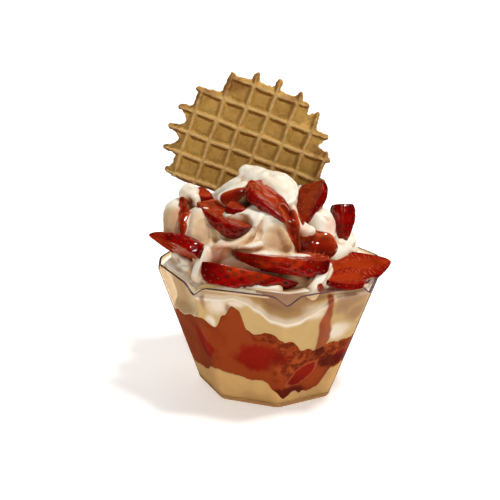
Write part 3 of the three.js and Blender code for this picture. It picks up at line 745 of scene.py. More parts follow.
def wall_radius(turn, z, inset):
    """From the axis to the wall, moved in by inset: the planes' distance over a soft maximum of the cosines
    of the turns from their middles, which rounds the corners."""
    half = np.pi / SIDES
    corner = BASE_RADIUS + (RIM_RADIUS - BASE_RADIUS) * z / CUP_HEIGHT
    away = (np.radians(np.asarray(turn) - CUP_TURN) % (2 * half)) - half
    softness = 0.012
    near, next_one = np.cos(away) / softness, np.cos(2 * half - np.abs(away)) / softness
    return (corner * np.cos(half) - inset) / (softness * np.logaddexp(near, next_one))


def at_wall(turn, z, inset, share=1.0):
    """Places at a turn and a height, at a share of the way from the axis to the wall."""
    radius = share * wall_radius(turn, z, inset)
    angle = np.radians(turn)
    return np.stack([radius * np.cos(angle), radius * np.sin(angle), z + 0 * radius], -1)


def rim_height(turn, cup):
    """The height of the rim: level, with a V of rounded shoulders at each corner."""
    half = 180 / SIDES
    from_corner = np.abs((turn - CUP_TURN + half) % (2 * half) - half)
    away = RIM_RADIUS * np.sin(np.radians(from_corner)) / (cup.notch_half_width / MM)
    softness = 0.12
    fall = softness * np.logaddexp(0, (1 - np.sqrt(away**2 + softness**2)) / softness)
    return CUP_HEIGHT - cup.notch_depth / MM * fall


# How many steps round each side of the cup: the plastic and its contents
CUP_STEPS, LAYER_STEPS = 26, 64
# The rings over a boundary between layers, as shares of the way to the wall
INNER_SHARES = (0.35, 0.7, 0.93)
# The space that the spoon left at the wall: the turn of its middle, half its width and the width of its edge,
# in degrees, its depth, and the height it starts from
SPACE_TURN, SPACE_HALF, SPACE_EDGE = -156, 29, 13
SPACE_DEPTH, SPACE_FROM = 3.6, 31
# Seeds for the unevenness of the two boundaries of the crushed fruit, and the radius that it is read at
UNDERSIDE_SEED, TOP_SEED, UNEVEN_RADIUS = 11, 23, 45


def cup_turns(per_side):
    """Turns in even steps round the cup, in degrees, the first at a corner."""
    return CUP_TURN + np.arange(SIDES * per_side) * 360 / (SIDES * per_side)


def clear_plastic(cup):
    """Thin clear plastic, slightly warm, and tan where bare as painted light from a warm backdrop seen
    through it.
    """
    finish = Finish("clear plastic", Roughness=0.03, IOR=1.08, Transmission_Weight=1.0)
    finish.set(Base_Color=finish.blend(finish.stored("bare"), tuple(cup.tint), tuple(cup.bare_see_through_tint)))
    finish.let_lamps_through(tuple(np.sqrt(cup.tint)))
    return finish.material


def edge_plastic(cup):
    """The same plastic seen along its wall, at the rim and round the base."""
    finish = Finish("plastic edge", Roughness=0.15, IOR=1.5)
    shade = finish.noise(90.0, 2.0).within(0.35, 0.65)
    rim = finish.blend(shade, tuple(cup.edge), scaled(cup.edge, 0.6))
    height = finish.node("ShaderNodeSeparateXYZ", {}, {"Vector": finish.place}, output="Z")
    finish.set(Base_Color=finish.blend(height.within(0.01, 0.02), tuple(cup.foot_edge), rim))
    return finish.material


class SUNDAE_OT_cup(bpy.types.Operator):
    """Makes the clear cup: one profile, up the outside, over the rim and down the inside, carried round"""

    bl_idname = "sundae.cup"
    bl_label = "Cup"

    def execute(self, context):
        cup = context.scene.sundae.cup
        turn = cup_turns(CUP_STEPS)
        rim = rim_height(turn, cup)
        wall, floor = cup.wall / MM, cup.floor / MM
        foot, lip, rows = 0.8, wall / 2, 26
        level = np.zeros_like(turn)
        across_floor = (0.4, 0.8, 0.97)
        rings = [at_wall(turn, level, foot, share) for share in across_floor]
        round_foot = (0.3, 0.9, 1.5)
        for a in round_foot:
            rings.append(at_wall(turn, level + foot * (1 - np.cos(a)), foot * (1 - np.sin(a))))
        outside = np.append(np.linspace(0.02, 0.97, rows - 2), [0.99, 1])
        rings += [at_wall(turn, foot + (rim - foot - lip) * share, 0.0) for share in outside]
        over_lip = 5
        over = np.linspace(0, np.pi, over_lip + 2)[1:-1]
        rings += [at_wall(turn, rim - lip + lip * np.sin(a), lip - lip * np.cos(a)) for a in over]
        rings += [at_wall(turn, floor + (rim - floor - lip) * share, wall) for share in outside[::-1]]
        rings += [at_wall(turn, level + floor, wall, share) for share in across_floor[::-1]]
        mesh = make_mesh("cup_shell", closed_rings(np.array(rings)))
        row = np.arange(len(mesh.polygons)) // len(turn)
        first_wall = len(across_floor) + len(round_foot)
        lip_row = first_wall + rows - 1
        at_edge = (row == first_wall - 1) | ((row >= lip_row) & (row < lip_row + over_lip))
        mesh.polygons.foreach_set("material_index", at_edge.astype(np.int32))
        places = vertices_of(mesh)
        turns = turns_of(places)
        # Where the wall is bare, above the cream and where it stands off: painted light from a warm backdrop
        above = ease((places[:, 2] - height_at(CREAM_TOP, turns)) / 1.2)
        per_millimetre = 0.14
        stands_off = per_millimetre * away_from_wall(turns) * ease((places[:, 2] - SPACE_FROM) / 5)
        set_value(mesh, "bare", np.maximum(above, stands_off))
        piece("cup_shell", mesh, [clear_plastic(cup), edge_plastic(cup)], ["cup"])
        return {"FINISHED"}


def layer_inset(sundae):
    """How far in from the cup's outer face its contents reach, in millimetres."""
    return (sundae.cup.wall - sundae.layers.into_wall) / MM


def layer_edge(entries, turn, seed):
    """The height of a boundary between layers at the wall: as its list says, with a fine unevenness."""
    circle = UNEVEN_RADIUS * level_circle(np.radians(turn))
    return height_at(entries, turn) + 0.5 * uneven(circle, 6.0, seed) + 0.25 * uneven(circle, 2.2, seed + 1)


def boundary_rings(edge, turn, inset):
    """Rings over a boundary inside the cup: at the edge's height at the wall and its mean in the middle."""
    mean = edge.mean()
    return [at_wall(turn, mean + (edge - mean) * share**3, inset, share) for share in INNER_SHARES]


def away_from_wall(turn):
    """How far the cream stands off the wall, in millimetres: at the left the spoon left a space."""
    from_middle = np.abs(past(turn, SPACE_TURN))
    return SPACE_DEPTH * ease((SPACE_HALF - from_middle) / SPACE_EDGE)


def soft_finish(name):
    """The start of a finish for what lies behind the wall: nearly matt, and lit a little from within."""
    return Finish(
        name,
        Roughness=0.42,
        Specular_IOR_Level=0.2,
        Subsurface_Weight=0.3,
        Subsurface_Scale=0.003,
        Subsurface_Radius=(1.0, 0.6, 0.4),
    )


def soft_ice_cream(layers):
    """Ice cream with faint smears of melt, browner in patches of painted shade near the foot and at the
    right.
    """
    finish = soft_finish("ice cream")
    light = tuple(layers.ice_cream)
    smear = finish.noise(70.0, 4.0, 0.55, 1.2).within(0.3, 0.7)
    base = finish.blend(0.6 * smear, light, scaled(light, (0.84, 0.76, 0.72)))
    # Painted shade, where the stored share says
    base = finish.blend(finish.stored("shade"), base, scaled(light, (0.66, 0.6, 0.56)))
    finish.set(Base_Color=base)
    finish.bump(finish.noise(240.0, 3.0), 0.25, 0.0006)
    return finish.material


def creamy_white(finish, cream):
    """White, with painted shade: warmer in the folds and tan to brown close under fruit, where shade falls.
    """
    soft = finish.noise(55.0, 3.0, 0.5, 0.8)
    white = tuple(cream.white)
    base = finish.blend(soft.within(0.35, 0.75), white, scaled(white, (0.96, 0.92, 0.87)))
    painted_shade = finish.stored("painted_shade")
    base = finish.blend(painted_shade.within(0.0, 0.6), base, tuple(cream.painted_shade))
    return finish.blend(painted_shade.within(0.5, 1.1), base, tuple(cream.deep))


def wall_cream(layers, cream):
    """Cream behind the plastic: tan where it is pressed flat, a painted highlight along the crest of each
    fold, brown painted shade deep in the folds, red where sauce has run down, and white where it stands off
    the wall."""
    finish = soft_finish("cream at the wall")
    smear = finish.noise(70.0, 4.0, 0.55, 1.2)
    flat = tuple(layers.pressed_cream)
    base = finish.blend(0.5 * smear.within(0.3, 0.7), flat, scaled(flat, (0.86, 0.8, 0.76)))
    base = finish.blend(finish.stored("pale") * (0.7 + 0.5 * smear), base, tuple(layers.crest))
    base = finish.blend(finish.stored("shade") * (0.7 + 0.5 * smear), base, tuple(layers.shaded_cream))
    thick = finish.noise(110.0, 3.0, 0.5, 0.6).within(0.3, 0.7)
    drip = tuple(layers.drip)
    red = finish.blend(thick, drip, scaled(drip, (0.7, 0.5, 0.45)))
    base = finish.blend(finish.stored("drip") * 0.95, base, red)
    finish.set(Base_Color=finish.blend(finish.stored("loose"), base, creamy_white(finish, cream)))
    finish.bump(finish.noise(240.0, 3.0), 0.25, 0.0006)
    return finish.material


def crushed_fruit(layers):
    """Crushed strawberry behind plastic: smooth pulp at the left, seeds and coarse crumb at the right, darker
    smooth slices pressed to the wall and juice where it has gathered."""
    finish = Finish("crushed strawberry", Roughness=0.45, Specular_IOR_Level=0.06)
    pulp, slice_red, juice = tuple(layers.fruit), tuple(layers.slice), tuple(layers.juice)
    dark = scaled(pulp, (0.5, 0.34, 0.28))
    pale = tuple(np.minimum(1, np.array(pulp) * (1.35, 1.5, 1.5)))
    coarse = finish.noise(60.0, 5.0, 0.6, 0.8)
    grit = finish.noise(420.0, 4.0, 0.7, 0.4)
    crumbs = finish.cells(520.0)
    base = finish.blend(coarse.within(0.44, 0.66) * 0.45, pulp, dark)
    crumb = finish.blend(grit.within(0.42, 0.6), dark, finish.blend(coarse.within(0.4, 0.62), pulp, pale))
    tan_seed, orange_flesh = from_display(168, 72, 26), from_display(176, 62, 20)
    pale_rim = from_display(190, 104, 60)
    crumb = finish.blend(crumbs.within(0.32, 0.12) * grit.within(0.45, 0.65) * 0.6, crumb, tan_seed)
    base = finish.blend(finish.stored("crumb"), base, crumb)
    shade = finish.noise(70.0, 3.0, 0.55, 0.5)
    slice_colour = finish.blend(shade.within(0.38, 0.68), slice_red, scaled(slice_red, (0.62, 0.6, 0.6)))
    slice_colour = finish.blend(grit.within(0.6, 0.72) * 0.35, slice_colour, orange_flesh)
    base = finish.blend(finish.stored("pressed_slice"), base, slice_colour)
    base = finish.blend(finish.stored("slice_edge") * 0.55, base, pale_rim)
    base = finish.blend(finish.stored("juice") * (0.6 + 0.4 * shade), base, juice)
    finish.set(Base_Color=base)
    finish.bump(coarse + grit * 0.5, 0.4, 0.0006)
    return finish.material


# Slices pressed against the wall: turn, height, half-width along the wall, half-height, tilt in degrees, and
# how clearly the edge shows
PRESSED_SLICES = [
    (-97.5, 24.5, 11.5, 6.6, 6, 0), (-66.5, 15.5, 8.2, 3.6, 33, 1), (-133, 27, 4.5, 8, 14, 0.2),
    (-36, 20, 6, 4, -20, 0.4), (5, 24, 9, 6, 10, 0), (40, 20, 8, 5, -15, 1), (85, 24, 10, 6, 12, 0),
    (130, 22, 8, 6, 25, 0.6), (165, 24, 8, 5, -10, 0.3),
]
SLICE_RADIUS = 38.0  # of the cup at their height
# Where the fruit is coarse crumb rather than smooth pulp: turn, height, half-width and half-height
CRUMBS = [
    (-86, 34, 9, 5), (-72, 22, 11, 10), (-52, 24, 10, 7), (-20, 22, 12, 9), (60, 24, 14, 10),
    (110, 22, 12, 9),
]
# Juice that has gathered, in the same way
JUICE = [(-76, 7, 10, 3.6), (-57, 25.4, 2.6, 2.2), (-45, 20, 8, 3), (100, 14, 9, 4)]
# Patches of painted highlight and of painted shade on the cream behind the wall, in the same way
PAINTED_LIGHT_PATCHES = [
    (-118, 46.5, 3.6, 3.4), (-108, 48.5, 3.6, 1.6), (-123, 39, 1.6, 2.4), (-50, 34.5, 6, 3.4),
    (-66, 45, 4, 3),
]
PAINTED_SHADE_PATCHES = [(-124.5, 47.5, 0.8, 3), (-112, 45.5, 1.0, 2.4), (-46, 48, 6, 6.5), (-40, 43, 5, 5)]
# Patches of painted shade on the ice cream, near the foot and at the right of the front, in the same way
SHADED_ICE_CREAM_PATCHES = [(-54, 9, 9, 10), (-98, 3, 9, 3), (-20, 4, 10, 4), (60, 5, 12, 4), (150, 6, 12, 5)]
# Sauce smeared along the wall, in the same way
RED_PATCHES = [(-31.5, 48, 1.6, 8), (-33, 36, 1.2, 5), (-128, 37, 3, 2.4), (70, 44, 5, 6), (160, 46, 4, 4)]
# How much painted shade darkens the folds above the crest, against turns
FOLD_SHADE = [
    (-150, 0.2), (-122, 0.2), (-112, 0.7), (-104, 1.3), (-86, 1.2), (-74, 0.9), (-66, 1.0), (-56, 0.7),
    (-44, 1), (-30, 0.6), (0, 0.5), (60, 0.7), (120, 0.5), (180, 0.6),
]
# Sauce that has run down inside the wall: turn, height and half-width
WALL_DRIP = [
    (-58.6, 50.5, 1.0), (-58, 45, 1.4), (-59, 40.8, 2.4), (-57.6, 34.6, 2.9), (-57, 28.3, 2.6),
    (-58, 25.5, 2.4),
]


def line_distance(places, line):
    """From each place to the nearest point of a line of straight steps, and how far along it that is, from 0
    to the number of steps."""
    line = np.asarray(line, float)
    step = np.diff(line, axis=0)
    from_start = places[:, None] - line[None, :-1]
    share = np.clip((from_start * step).sum(-1) / (step**2).sum(-1), 0, 1)
    away = np.linalg.norm(from_start - share[..., None] * step, axis=-1)
    nearest = away.argmin(1)
    row = np.arange(len(places))
    return away[row, nearest], nearest + share[row, nearest]


MIDDLING_RADIUS = 40.0  # of the cup, to turn degrees along the wall into millimetres


def on_wall(turns, heights):
    """Places on the wall unrolled: millimetres along it and up it."""
    return np.stack([np.radians(turns) * MIDDLING_RADIUS, heights + 0 * turns], -1)


WIDE_EDGE = 1.1  # of spots that fade out slowly


def spots(places, seeds, edge=0.35):
    """How far each place is inside any of several uneven ovals, from 0 to 1 over a soft edge."""
    turns = turns_of(places)
    ragged = 0.22 * uneven(places, 7.0, 61) + 0.1 * uneven(places, 2.5, 62)
    inside = np.zeros(len(places))
    for turn, height, half_width, half_height in seeds:
        across = np.radians(past(turns, turn)) * MIDDLING_RADIUS
        reach = np.hypot(across / half_width, (places[:, 2] - height) / half_height) + ragged
        inside = np.maximum(inside, ease((0.98 + edge / 2 - reach) / edge))
    return inside


def drip_mask(places):
    """How far each place is inside the drip on the wall."""
    turns = turns_of(places)
    drip = np.array(WALL_DRIP)
    away, along = line_distance(on_wall(turns, places[:, 2]), on_wall(drip[:, 0], drip[:, 1]))
    half = np.interp(along, np.arange(len(drip)), drip[:, 2]) * (1 + 0.2 * uneven(places, 5.0, 63))
    return ease((half - away) / 0.7 + 0.5)


class SUNDAE_OT_layers(bpy.types.Operator):
    """Makes the layers behind the plastic: rings at the wall from one boundary up to the next"""

    bl_idname = "sundae.layers"
    bl_label = "Layers"

    def execute(self, context):
        sundae = context.scene.sundae
        layers = sundae.layers
        turn = cup_turns(LAYER_STEPS)
        floor = np.full_like(turn, (sundae.cup.floor - layers.into_wall) / MM)
        low = layer_edge(STRAWBERRY_UNDERSIDE, turn, UNDERSIDE_SEED)
        high = layer_edge(STRAWBERRY_TOP, turn, TOP_SEED)
        base = self.fill("ice_cream_base", floor, low, 16)
        # Painted shade on the ice cream, in patches
        set_value(base, "shade", 0.6 * spots(vertices_of(base), SHADED_ICE_CREAM_PATCHES, WIDE_EDGE))
        piece("ice_cream_base_fill", base, [soft_ice_cream(layers)], ["ice_cream_base"])
        fruit = self.fill("strawberry_layer", low, high, 40)
        places = vertices_of(fruit)
        inside, edge = pressed_masks(places)
        set_value(fruit, "pressed_slice", inside)
        set_value(fruit, "slice_edge", edge)
        set_value(fruit, "crumb", spots(places, CRUMBS))
        set_value(fruit, "juice", spots(places, JUICE))
        material = crushed_fruit(layers)
        piece("strawberry_layer_fill", fruit, [material], ["strawberry_layer"])
        return {"FINISHED"}

    def fill(self, node, low, high, rows):
        turn, inset = cup_turns(LAYER_STEPS), layer_inset(bpy.context.scene.sundae)
        rings = boundary_rings(low, turn, inset)
        rings += [at_wall(turn, low + (high - low) * share, inset) for share in np.linspace(0, 1, rows)]
        rings += boundary_rings(high, turn, inset)[::-1]
        return make_mesh(node + "_fill", closed_rings(np.array(rings)))


def pressed_masks(places):
    """For each place, how far it is inside a pressed slice, and how near an edge that shows: from each
    slice's ellipse, sqrt((a/half-width)^2 + (b/half-height)^2) along its tilted axes."""
    turns = turns_of(places)
    inside, edge = np.zeros_like(turns), np.zeros_like(turns)
    ragged = 0.17 * uneven(places, 8.0, 64) + 0.08 * uneven(places, 2.5, 65)
    for turn, height, half_width, half_height, tilt, shows in PRESSED_SLICES:
        across = np.radians(past(turns, turn)) * SLICE_RADIUS
        up = places[:, 2] - height
        angle = np.radians(tilt)
        a = across * np.cos(angle) + up * np.sin(angle)
        b = up * np.cos(angle) - across * np.sin(angle)
        reach = np.hypot(a / half_width, b / half_height) + ragged
        inside = np.maximum(inside, ease((1.15 - reach) / (0.5 - 0.36 * shows)))
        edge = np.maximum(edge, shows * ease((reach - 0.8) / 0.1) * ease((1.08 - reach) / 0.06))
    return inside, edge


MOUND_TOP = 74.0
MOUND_DROP = 24.0  # from the middle of the mound to the wall
MOUND_POWER = 1.6
LEAN_IN_LEAST, LEAN_IN_MOST = 1.0, 4.2  # how deep the fold at the wall is, in millimetres


class SUNDAE_OT_cream_in_cup(bpy.types.Operator):
    """Makes the cream behind the plastic: up the wall to where it touches, then a rounded fold that leans
    inwards and becomes the mound under the swirls"""

    bl_idname = "sundae.cream_in_cup"
    bl_label = "Cream in the cup"

    def execute(self, context):
        sundae = context.scene.sundae
        turn, inset = cup_turns(LAYER_STEPS), layer_inset(sundae)
        low = layer_edge(STRAWBERRY_TOP, turn, TOP_SEED)
        crest = height_at(CREAM_EDGE, turn)
        off = away_from_wall(turn)
        rings = boundary_rings(low, turn, inset)
        for share in np.linspace(0, 1, 24):
            leaves = off * ease(share * 3.0)
            rings.append(at_wall(turn, low + (crest - low) * share, inset + leaves))
        level_wall = UNEVEN_RADIUS * at_wall(turn, 0 * turn, 0) / RIM_RADIUS
        top = height_at(CREAM_TOP, turn) + 0.4 * uneven(level_wall, 9.0, 71)
        room = np.maximum(top - crest, 1)
        for share in np.linspace(0, 1, 26)[1:]:
            z = crest + room * share
            rings.append(at_wall(turn, z, inset + off * (1 - 0.85 * share) + self.fold(turn, share, room)))
        start = rings[-1]
        at_the_wall = len(rings) * len(turn)
        brim, mound_rings = [0.985, 0.955, 0.92], np.linspace(0.87, 0.02, 14)
        for inner in np.concatenate([brim, mound_rings]):
            goal = start * (inner, inner, 1)
            mound = MOUND_TOP - MOUND_DROP * inner**MOUND_POWER
            goal[:, 2] += (mound - start[:, 2]) * ease((0.75 - inner) / 0.5)
            lumps = 0.7 * uneven(goal, 12.0, 72) + 0.3 * uneven(goal, 5.0, 73)
            goal[:, 2] += ease((1 - inner) / 0.1) * lumps
            rings.append(goal)
        mesh = make_mesh("cream_in_cup", closed_rings(np.array(rings)))
        places = vertices_of(mesh)
        on_top = np.arange(len(places)) >= at_the_wall
        turns = turns_of(places)
        above = places[:, 2] - height_at(CREAM_EDGE, turns)
        # Painted highlight along each crest and in patches, painted shade in the folds above it and in
        # patches
        crest_highlight = ease((2.4 - np.abs(above - 0.4)) / 2.0)
        set_value(mesh, "pale", np.maximum(crest_highlight, 0.85 * spots(places, PAINTED_LIGHT_PATCHES, WIDE_EDGE)))
        in_fold = height_at(FOLD_SHADE, turns) * ease((above - 0.8) / 6.0)
        set_value(mesh, "shade", np.maximum(in_fold, 0.9 * spots(places, PAINTED_SHADE_PATCHES, WIDE_EDGE)))
        set_value(mesh, "loose", np.maximum(ease((away_from_wall(turns) - 1) / 1.5), on_top))
        set_value(mesh, "drip", np.maximum(drip_mask(places), 0.55 * spots(places, RED_PATCHES, 0.9)))
        # Painted shade: darker where the cream lies close under fruit
        set_value(mesh, "painted_shade", crowding(mesh))
        piece("cream_in_cup", mesh, [wall_cream(sundae.layers, sundae.cream)], ["cream_top"])
        return {"FINISHED"}

    def fold(self, turn, share, room):
        """How far the cream leans in above its crest, at a share of the room up to the rim: out of the wall
        at once, deepest at three fifths, and back out to the rim, with a lesser fold that slants across."""
        deep = np.clip(0.34 * room, LEAN_IN_LEAST, LEAN_IN_MOST)
        valley = np.clip(2.6 * share * (1 - share) ** 0.6, 0, None)
        slant = share - (0.58 + 0.2 * np.sin(np.radians(turn * 3 + 40)))
        lesser = 0.9 * np.exp(-((slant / 0.14) ** 2)) * ease(room / 8)
        return np.maximum(deep * valley + 1.1 * share - lesser, 0.12 * ease(share * 20))


def whipped_cream(cream):
    """Whipped cream: white with a faint satin sheen, lit from within, and pink where sauce has soaked it."""
    finish = Finish(
        "whipped cream",
        Roughness=0.42,
        Subsurface_Weight=0.25,
        Subsurface_Scale=0.002,
        Subsurface_Radius=(1.0, 0.65, 0.45),
        Specular_IOR_Level=0.35,
    )
    base = creamy_white(finish, cream)
    streaks = finish.noise(130.0, 4.0, 0.6, 2.0).within(0.35, 0.6)
    base = finish.blend(finish.stored("stain") * (0.55 + 0.45 * streaks), base, tuple(cream.stain))
    finish.set(Base_Color=base)
    finish.bump(finish.noise(420.0, 4.0, 0.6) * 0.6 + finish.noise(110.0, 3.0), 0.3, 0.0006)
    return finish.material


# Spots of painted shade on the cream, and where sauce has soaked it: x, y, z, reach and strength
PAINTED_SHADE_SPOTS = [
    (-25.5, -24, 71, 6, 0.7), (-29, -20, 74.5, 4, 0.5), (-42, -12, 71, 6.5, 0.7), (-38.5, -17, 67, 5, 0.75),
    (-4, -12, 86.5, 3.5, 0.35), (2, -31, 71.5, 5, 0.8), (4.8, -32, 68.5, 3.4, 0.9), (-13, -30, 72, 6, 0.45),
    (-14, -36, 66, 5, 0.45), (9, -38, 57, 6, 0.85), (30, 16, 66, 7, 0.3), (-36, 16, 70, 7, 0.35),
    (-8, 38, 70, 8, 0.3),
]
STAINS = [
    (-35.5, -13, 75, 4.4, 0.6), (-20.2, -35, 66, 3.6, 0.95), (25, -10, 71, 4, 0.5), (8, -24, 80, 3.4, 0.5),
    (12, -27, 74, 3.4, 0.4), (-24, -10, 79, 4, 0.25), (18, -33, 58, 3, 0.35), (3, 34, 66, 7, 0.4),
    (-30, 24, 65, 6, 0.35),
]


class SUNDAE_OT_cream(bpy.types.Operator):
    """Makes the swirls above the rim: round-ended tubes along smooth lines, melted into one skin"""

    bl_idname = "sundae.cream"
    bl_label = "Cream swirls"

    def execute(self, context):
        cream = context.scene.sundae.cream
        lobes = [lobe(points) for points in CREAM_LOBES + CREAM_LIPS]
        mesh = melted(joined(lobes), cream.grain, cream.smoothing)
        for direction, middle, reach, depth in CREAM_DENTS:
            self.dent(mesh, unit(np.array(direction)), np.array(middle), reach, depth)
        for direction, side, height, width, line in CREAM_FOLDS:
            side = unit(np.array(side, float))
            self.fold(mesh, unit(np.array(direction)), side, height, width, np.array(line))
        places = vertices_of(mesh)
        push = 0.22 * uneven(places, 7.0, 7) + 0.13 * uneven(places, 3.2, 8)
        pushed = places + normals_of(mesh) * push[:, None]
        set_vertices(mesh, self.inside_cup(pushed, context.scene.sundae.cup))
        places = vertices_of(mesh)
        set_value(mesh, "stain", in_spots(places, STAINS))
        normals = normals_of(mesh)
        # Painted shade: the cream darker in its folds, on faces turned down, close under fruit and in the
        # listed spots
        near, wide = (((spread(mesh, places, rounds) - places) * normals).sum(1) for rounds in (10, 70))
        folds = 0.3 * ease(near / 0.22) + 0.45 * ease(wide / 1.5)
        turned_down = 0.3 * ease((0.45 - normals[:, 2]) / 0.8)
        in_shade = np.clip(folds + turned_down + 0.45 * crowding(mesh), 0, 1)
        set_value(mesh, "painted_shade", np.maximum(in_shade, in_spots(places, PAINTED_SHADE_SPOTS)))
        mesh.shade_smooth()
        mesh.materials.clear()
        piece("cream_swirls", mesh, [whipped_cream(cream)], ["cream_top"])
        return {"FINISHED"}

    def dent(self, mesh, direction, middle, reach, depth):
        """Presses the side that faces the direction inwards, by the depth times sqrt(1 - (distance/reach)^2),
        where the distance is square to the direction."""
        places, normals = vertices_of(mesh), normals_of(mesh)
        deepest = 13  # as far as the spoon reaches along the direction
        away = places - middle
        along = away @ direction
        distance = np.linalg.norm(away - along[:, None] * direction, axis=1)
        facing = ease((-(normals @ direction) - 0.05) / 0.3) * ease((deepest - np.abs(along)) / 3)
        pressed = depth * facing * np.sqrt(np.clip(1 - (distance / reach) ** 2, 0, 1))
        set_vertices(mesh, places + pressed[:, None] * direction)

    def fold(self, mesh, direction, side, height, width, line):
        """Raises a lip along a line and cuts a groove beside it. Across the line, square to the direction,
        the lip falls away slowly on one side and drops at once into the groove on the other."""
        places, normals = vertices_of(mesh), normals_of(mesh)
        steps = smooth_line(line, np.linspace(0, 1, 5 * len(line)))
        onto = np.eye(3) - np.outer(direction, direction)
        away, along = line_distance(places @ onto, steps @ onto)
        last = len(steps) - 1
        nearest = np.stack([np.interp(along, np.arange(last + 1), steps[:, k]) for k in range(3)], 1)
        offset = places - nearest
        across = offset @ unit(onto @ side)
        signed = np.sign(across) * away / width
        lip = np.exp(-np.abs(np.minimum(signed, 0)) / 1.6) * np.exp(-(np.maximum(signed, 0) / 0.6) ** 2)
        groove = np.clip(signed / 1.2, 0, 1) * np.exp(-np.maximum(signed - 1.2, 0) / 1.5)
        reach = np.abs(offset @ direction)
        facing = ease((-(normals @ direction) + 0.1) / 0.3) * ease((9 - reach) / 3)
        ends = ease(np.minimum(along, last - along) / (0.16 * last))
        set_vertices(mesh, places + normals * (height * facing * ends * (lip - 1.1 * groove))[:, None])

    def inside_cup(self, places, cup):
        """Keeps what is below the rim clear of the wall, further from it at the left, and at the front left
        behind the fold of cream_in_cup."""
        turns = turns_of(places)
        over = np.maximum(places[:, 2] - rim_height(turns, cup) - 0.5, 0)
        fold_turn, fold_half, fold_depth, fold_top, space_top = -106, 26, 5.0, 52.5, 54
        beside = ease((fold_half - np.abs(turns - fold_turn)) / 8)
        behind_fold = beside * ease((fold_top - places[:, 2]) / 2.5)
        stand_off = (cup.wall / MM + 0.4) + away_from_wall(turns) * ease((space_top - places[:, 2]) / 5)
        stand_off = stand_off + fold_depth * behind_fold
        most = wall_radius(turns, np.minimum(places[:, 2], CUP_HEIGHT), stand_off) + 1.6 * over
        radius = np.hypot(places[:, 0], places[:, 1])
        share = np.minimum(1, most / np.maximum(radius, 1))
        return places * np.stack([share, share, np.ones_like(share)], 1)


def rib_list():
    """The ribs: the distance of each from the centre, whether it falls to the right, and half its length."""
    falling = [(FALLING_OFFSET + i * CELL[1], True) for i in range(-2, 4)]
    rising = [(RISING_OFFSET + i * CELL[0], False) for i in range(-3, 4)]
    ribs = []
    for offset, falls in falling + rising:
        share = EDGE_RIB_SHARE if abs(offset) > EDGE_RIB_BEYOND else 1
        ribs.append((offset, falls, share * np.sqrt(WAFFLE_RADIUS**2 - offset**2)))
    return ribs


def rib_shape(offset, falls, reach, waffle, seed):
    """One rib: a section of three corners in each quarter, two at the crest and one at the foot, carried
    along a nearly straight line and drawn in at both ends as a circle is."""
    draw = np.random.default_rng(seed)
    start = -reach if falls else max(-reach, -CUT_BELOW_CENTRE)
    along = np.linspace(start, reach, 90)
    crest, foot = waffle.crest / MM / 2, waffle.foot / MM / 2
    high, low = waffle.thickness / MM / 2, waffle.web / MM / 2 - 0.1
    quarter = [(crest, high), (crest + 0.25, high - 0.35), (foot, low)]
    corners = quarter + [(x, -z) for x, z in quarter[::-1]]
    corners = np.array(corners + [(-x, -z) for x, z in quarter] + [(-x, z) for x, z in quarter[::-1]])
    end_length = 2.6
    cut_short = not falls and start > -reach + 1e-6
    from_end = np.minimum(along - start + (end_length if cut_short else 0), reach - along)
    drawn_in = 0.45 + 0.55 * np.sqrt(np.clip(1 - (1 - np.minimum(from_end / end_length, 1)) ** 2, 0, 1))
    bend = 0.18 * np.sin(along * draw.uniform(0.12, 0.3) + draw.uniform(0, 6))
    width = drawn_in * (1 + 0.08 * np.sin(along * draw.uniform(0.5, 0.9) + draw.uniform(0, 6)))
    width *= 1 - 0.4 * ease((np.hypot(along, offset) - WEB_RADIUS + 1.5) / 4)
    side = offset + bend[:, None] + corners[None, :, 0] * width[:, None]
    depth = corners[None, :, 1] * (0.35 + 0.65 * drawn_in[:, None])
    length_way = np.broadcast_to(along[:, None], side.shape)
    order = (length_way, side, depth) if falls else (side, length_way, depth)
    return closed_rings(np.stack(order, -1))


def web_shape(waffle):
    """The web: a disc whose edge is drawn out to the end of every rib, scalloped between them and broken away
    at the lower right, cut straight along the lowest rib."""
    ends = []
    for offset, falls, reach in rib_list():
        for end in (-reach, reach):
            ends.append(np.arctan2(offset, end) if falls else np.arctan2(end, offset))
    angle = np.linspace(-np.pi, np.pi, 360, endpoint=False)
    from_ribs = np.arccos(np.cos(angle[:, None] - np.array(ends)[None]))
    drawn = np.clip(1 - from_ribs.min(1) * WAFFLE_RADIUS / 4.5, 0, 1) ** 1.5
    circle = 30 * level_circle(angle)
    radius = WEB_RADIUS + (WAFFLE_RADIUS - 1.2 - WEB_RADIUS) * drawn + 0.35 * uneven(circle, 5, 31)
    broken_from, broken_to, edge = -0.08, 0.24, 0.06
    broken = ease((angle - broken_from) / edge) * ease((broken_to - angle) / edge)
    radius -= broken * (0.2 + 0.6 * uneven(circle, 2.2, 32))
    half = waffle.web / MM / 2
    rings = []
    inner, rim = [(0.3, 1), (0.7, 1), (0.985, 1)], (1, 0.5)
    upper = [*inner, rim]
    for share, level in [(share, -level) for share, level in upper] + upper[::-1]:
        x, y = share * radius * np.cos(angle), share * radius * np.sin(angle)
        z = level * half
        rings.append(np.stack([x, np.maximum(y, -CUT_BELOW_CENTRE + 0.2), 0 * x + z], -1))
    return closed_rings(np.array(rings))


